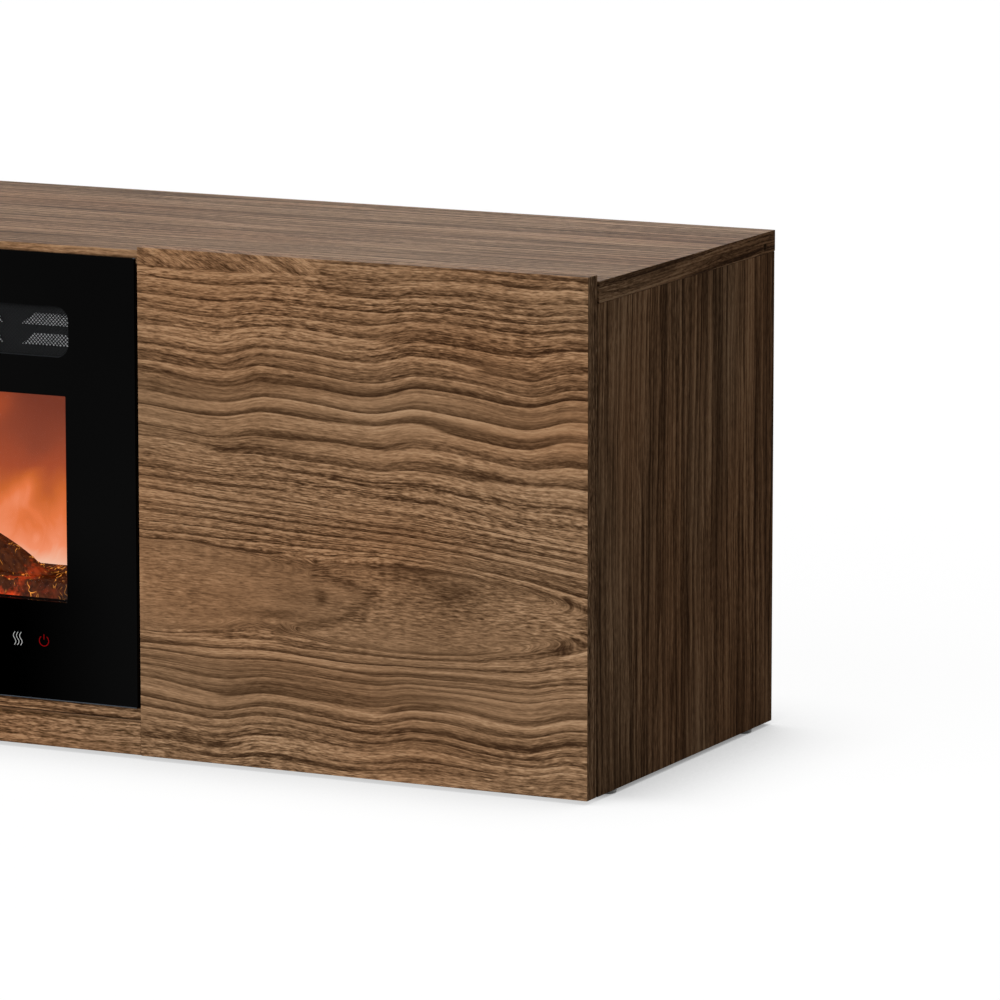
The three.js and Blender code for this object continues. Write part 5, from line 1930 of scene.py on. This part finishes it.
@dataclass
class FireBox:
    """The lit screen, the logs and the bed of embers.

    Attributes:
        lump: The width of one coal.
        slope_depth: How far the bed's front slope reaches back.
        slope_height: How high it rises.
        log_reach: How far to each side the logs glow.
        bed_reach: How far to each side the bed glows.
    """

    woods: tuple[Wood, ...] = (
        Wood((0.022, 0.34, 0.123), (0.80, 0.217, 0.05), 15.0 * MM, 8.5 * MM),
        Wood((0.091, 0.753, 0.123), (0.76, 0.671, 0.06), 14.5 * MM, -5.6 * MM),
        Wood((0.017, 0.217, -0.05), (0.386, 0.753, 0.68), 13.6 * MM, 4.6 * MM),
        Wood((0.62, 0.671, 0.61), (1.03, 0.258, -0.34), 13.8 * MM, 0.5 * MM),
        Wood((0.312, 0.34, 0.471), (0.692, 0.588, 0.576), 13.6 * MM, -4.6 * MM))
    log_sides: int = 56
    log_rings: int = 90
    log_reach: float = 0.215
    log_char: Colour = srgb("150e0b")
    log_ash: Colour = srgb("4a2b18")
    bed_step: float = 2.6 * MM
    bed_reach: float = 0.212
    bed_char: Colour = srgb("150e0c")
    bed_ash: Colour = srgb("3f2a1e")
    lump: float = 9 * MM
    slope_depth: float = 12 * MM
    slope_height: float = 14 * MM

    def build(self) -> None:
        """Build the fire."""
        dress("powder", 0.2 * MM, "firebox_liner")
        dress("flame", 0.0, "flame_screen")
        self.logs()
        self.embers()

    def logs(self) -> None:
        """Pile the charred logs, with ridged bark and broken ends."""
        low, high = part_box("log_set")
        form = Form()
        form.mesh.verts.layers.float.new("hollow")
        for number, wood in enumerate(self.woods):
            self.log(form, wood, low, high, number * 7.3)
        glow = Smoulder(
            "charred_log", self.log_char, self.log_ash, low.z - 34 * MM, high.z - 14 * MM, self.log_reach)
        form.piece("charred_logs", "log_resin", glow.build(), replaces=["log_set"])

    def log(self, form: Form, wood: Wood, low: Vector, high: Vector, seed: float) -> None:
        """Add one log.

        Args:
            form: The mesh that takes it.
            wood: Its place, radius and bend.
            low: The lowest corner of the pile's box.
            high: The highest corner of the pile's box.
            seed: Where its pattern starts.
        """
        hollows = form.mesh.verts.layers.float["hollow"]
        size = high - low
        start, end = (low + Vector([a * b for a, b in zip(tip, size)]) for tip in (wood.start, wood.end))
        run = (end - start).normalized()
        side = Vector((0, 0, 1)).cross(run).normalized()
        up = run.cross(side)
        below: list[Vert] = []
        for ring in range(self.log_rings + 1):
            t = ring / self.log_rings
            cap = max(0.0, (abs(t - 0.5) - 0.47) / 0.03)
            taper = math.sqrt(max(0.0, 1 - cap ** 2)) * 0.5 + 0.5
            middle = start.lerp(end, t) + side * wood.bend * math.sin(math.pi * t)
            verts = []
            for x, y in circle(1.0, self.log_sides):
                groove = noise.noise((x * 4.2 + seed, y * 4.2, t * 5.0))
                scales = noise.noise((x * 9.0, y * 9.0 + seed, t * 22.0))
                dent = max(0.0, -groove) * 0.22 + max(0.0, scales) * 0.1
                radius = wood.radius * taper * (1.04 + 0.06 * math.sin(3 * math.pi * t + seed) - dent)
                spot = middle + side * radius * x + up * radius * y
                vert = form.mesh.verts.new([min(max(c, a), b) for c, a, b in zip(spot, low, high)])
                vert[hollows] = min(1.0, dent * 6)
                verts.append(vert)
            if below:
                form.join(below, verts)
            else:
                form.mesh.faces.new(verts)
            below = verts
        form.mesh.faces.new(below)

    def bed_path(self, low: Vector, high: Vector) -> Outline:
        """Follow the bed's front, slope and ledge in small steps.

        Args:
            low: The bed's lowest corner.
            high: Its highest corner.

        Returns:
            The points in y and z.
        """
        profile = [
            (low.y, low.z), (low.y, high.z - self.slope_height), (low.y + self.slope_depth, high.z),
            (high.y, high.z)]
        path: Outline = []
        for (y0, z0), (y1, z1) in zip(profile, profile[1:]):
            steps = max(2, round(math.hypot(y1 - y0, z1 - z0) / self.bed_step))
            path += [(y0 + (y1 - y0) * i / steps, z0 + (z1 - z0) * i / steps) for i in range(steps)]
        return path + [profile[-1]]

    def embers(self) -> None:
        """Lay the bed: a lumpy sheet over the solid bed's slope and ledge, closed below."""
        low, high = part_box("ember_bed")
        path = self.bed_path(low, high)
        form = Form()
        hollows = form.mesh.verts.layers.float.new("hollow")
        columns = round((high.x - low.x) / self.bed_step)
        rows = []
        for column in range(columns + 1):
            x = low.x + (high.x - low.x) * column / columns
            verts = []
            for y, z in path:
                near = noise.voronoi((x / self.lump, y / self.lump, z / self.lump))[0]
                dent = max(0.0, 0.5 - (near[1] - near[0])) * 2
                rough = noise.noise((x / 3 / MM, y / 3 / MM, z / 3 / MM)) * 0.5 + 0.5
                calm = min(1.0, (z - low.z) / (12 * MM), (high.y - y) / (16 * MM) + 0.12)
                depth = (dent * 2.6 + rough * 0.9) * MM * calm
                vert = form.mesh.verts.new((x, min(y + depth * 0.6, high.y), z - depth))
                vert[hollows] = dent
                verts.append(vert)
            rows.append([*verts, form.mesh.verts.new((x, high.y, low.z))])
        for left, right in zip(rows, rows[1:]):
            form.join(left, right)
        form.mesh.faces.new(rows[0])
        form.mesh.faces.new(rows[-1])
        glow = Smoulder(
            "glowing_embers", self.bed_char, self.bed_ash, low.z + 12 * MM, high.z + 24 * MM, self.bed_reach)
        form.piece("glowing_embers", "ember_resin", glow.build(), replaces=["ember_bed"])


@dataclass
class Insert:
    """The sheet steel housing with what it carries: heater, rotor, boards and inlet.

    Attributes:
        plain: The solids that only get a finish, with that finish and how far their edges are rounded.
        cans: The capacitors' place, radius and height, in millimetres.
        coils: Where the wound chokes stand along x, in millimetres.
        chips: The chips' place, width and height, in millimetres.
    """

    seam_screw: Screw = Screw(3.0 * MM, 1.4 * MM)
    flange_screw: Screw = Screw(1.9 * MM, 0.9 * MM)
    plain: tuple[tuple[str, str, float], ...] = (
        ("insert_housing", "powder", 0.5), ("blower_housing", "zinc", 0.4), ("blower_wheel", "zinc", 0.15),
        ("blower_motor", "grey_moulding", 1.0), ("heater_element", "nickel", 0.2),
        ("flame_rotor", "nickel", 0.1), ("rotor_cradle", "zinc", 0.3), ("rotor_motor", "grey_moulding", 0.8),
        ("led_board", "circuit", 0.1), ("control_board", "circuit", 0.2), ("power_board", "circuit", 0.3),
        ("power_inlet", "black_moulding", 0.4), ("left_insert_bracket", "zinc", 0.3),
        ("right_insert_bracket", "zinc", 0.3))
    cans: tuple[tuple[float, ...], ...] = ((8, 40, 5, 16), (8, 54, 5, 16), (26, 50, 7, 20), (84, 50, 6, 18))
    coils: tuple[float, ...] = (46, 64)
    coil_radius: float = 5 * MM
    coil_wire: float = 1.8 * MM
    board_rise: float = 7.6 * MM
    chips: tuple[tuple[float, ...], ...] = ((40, 9, 14, 9), (78, 8, 9, 9), (112, 10, 18, 6))
    chip_depth: float = 2 * MM
    diodes: int = 9
    diode: tuple[tuple[float, float], ...] = ((2.4, -0.4), (2.4, 0.0), (1.7, 1.2), (0.0, 1.7))

    def build(self) -> None:
        """Dress the solids and add the small parts."""
        for node, finish, soften in self.plain:
            dress(finish, soften * MM, node)
        self.screws()
        self.power_parts()
        self.control_chips()
        self.diode_lenses()

    def screws(self) -> None:
        """Screw the brackets, the inlet and the housing's back."""
        form = Form()
        housing_low, housing_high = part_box("insert_housing")
        for side, hand in SIDES.items():
            low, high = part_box(f"{side}_insert_bracket")
            inner, outer = (low.x, high.x) if hand > 0 else (high.x, low.x)
            for share in (0.25, 0.75):
                z = low.z + (high.z - low.z) * share
                place = (inner + hand * 10 * MM, low.y + 1.5 * MM, z)
                self.seam_screw.add(form, place, BACKWARD, share * 9)
                place = (outer - hand * 1.5 * MM, high.y - 9 * MM, z)
                self.seam_screw.add(form, place, (-hand, 0, 0), share * 7)
            for share in (0.1, 0.75, 0.92):
                z = housing_low.z + (housing_high.z - housing_low.z) * share
                place = (hand * (housing_high.x - 7 * MM), housing_high.y, z)
                self.seam_screw.add(form, place, BACKWARD, share * 11)
        low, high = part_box("power_inlet")
        for x in (low.x + 3 * MM, high.x - 3 * MM):
            self.flange_screw.add(form, (x, high.y, (low.z + high.z) / 2), BACKWARD, x)
        form.piece("insert_screws", "black_steel", "zinc")

    def power_parts(self) -> None:
        """Fit capacitors and wound chokes on the power board."""
        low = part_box("power_board")[0]
        face = low.z + self.board_rise
        form = Form()
        for x, y, radius, height in self.cans:
            profile = in_mm((0, 0), (radius, 0), (radius, height - 1.0), (radius - 0.8, height), (0, height))
            form.turned(profile, Matrix.Translation((low.x + x * MM, low.y + y * MM, face)), 24)
        form.piece("power_board_capacitors", "grey_plastic", "chip")
        form = Form()
        for x in self.coils:
            middle = Vector((low.x + x * MM, low.y + 52 * MM, face + 6 * MM))
            loop = [middle + Vector((u, 0.0, v)) for u, v in circle(self.coil_radius, 20)]
            form.tube(loop, self.coil_wire, 10)
        form.piece("power_board_chokes", "hinge_steel", "copper")

    def control_chips(self) -> None:
        """Fit chips on the touch control's board."""
        low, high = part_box("control_board")
        form = Form()
        for x, z, width, height in self.chips:
            start = (low.x + x * MM, high.y, low.z + z * MM)
            form.box(start, (start[0] + width * MM, high.y + self.chip_depth, start[2] + height * MM))
        form.piece("control_board_chips", "black_plastic", "chip", soften=0.2 * MM)

    def diode_lenses(self) -> None:
        """Set a lens over each light of the lamp board."""
        low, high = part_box("led_board")
        pitch = (high.x - low.x) / self.diodes
        form = Form()
        for i in range(self.diodes):
            at = Matrix.Translation((low.x + (i + 0.5) * pitch, (low.y + high.y) / 2, high.z))
            form.turned(in_mm(*self.diode), at, 16)
        form.piece("diode_lenses", "flame_screen", "diode")


def main() -> None:
    """Build the studio and every part in order."""
    logging.basicConfig(level=logging.INFO, format="%(name)s: %(message)s")
    Studio().build()
    Cabinet().build()
    for side, hand in SIDES.items():
        Door(side, hand).build()
    FireplaceFront().build()
    FireBox().build()
    Insert().build()


if __name__ == "__main__":
    main()
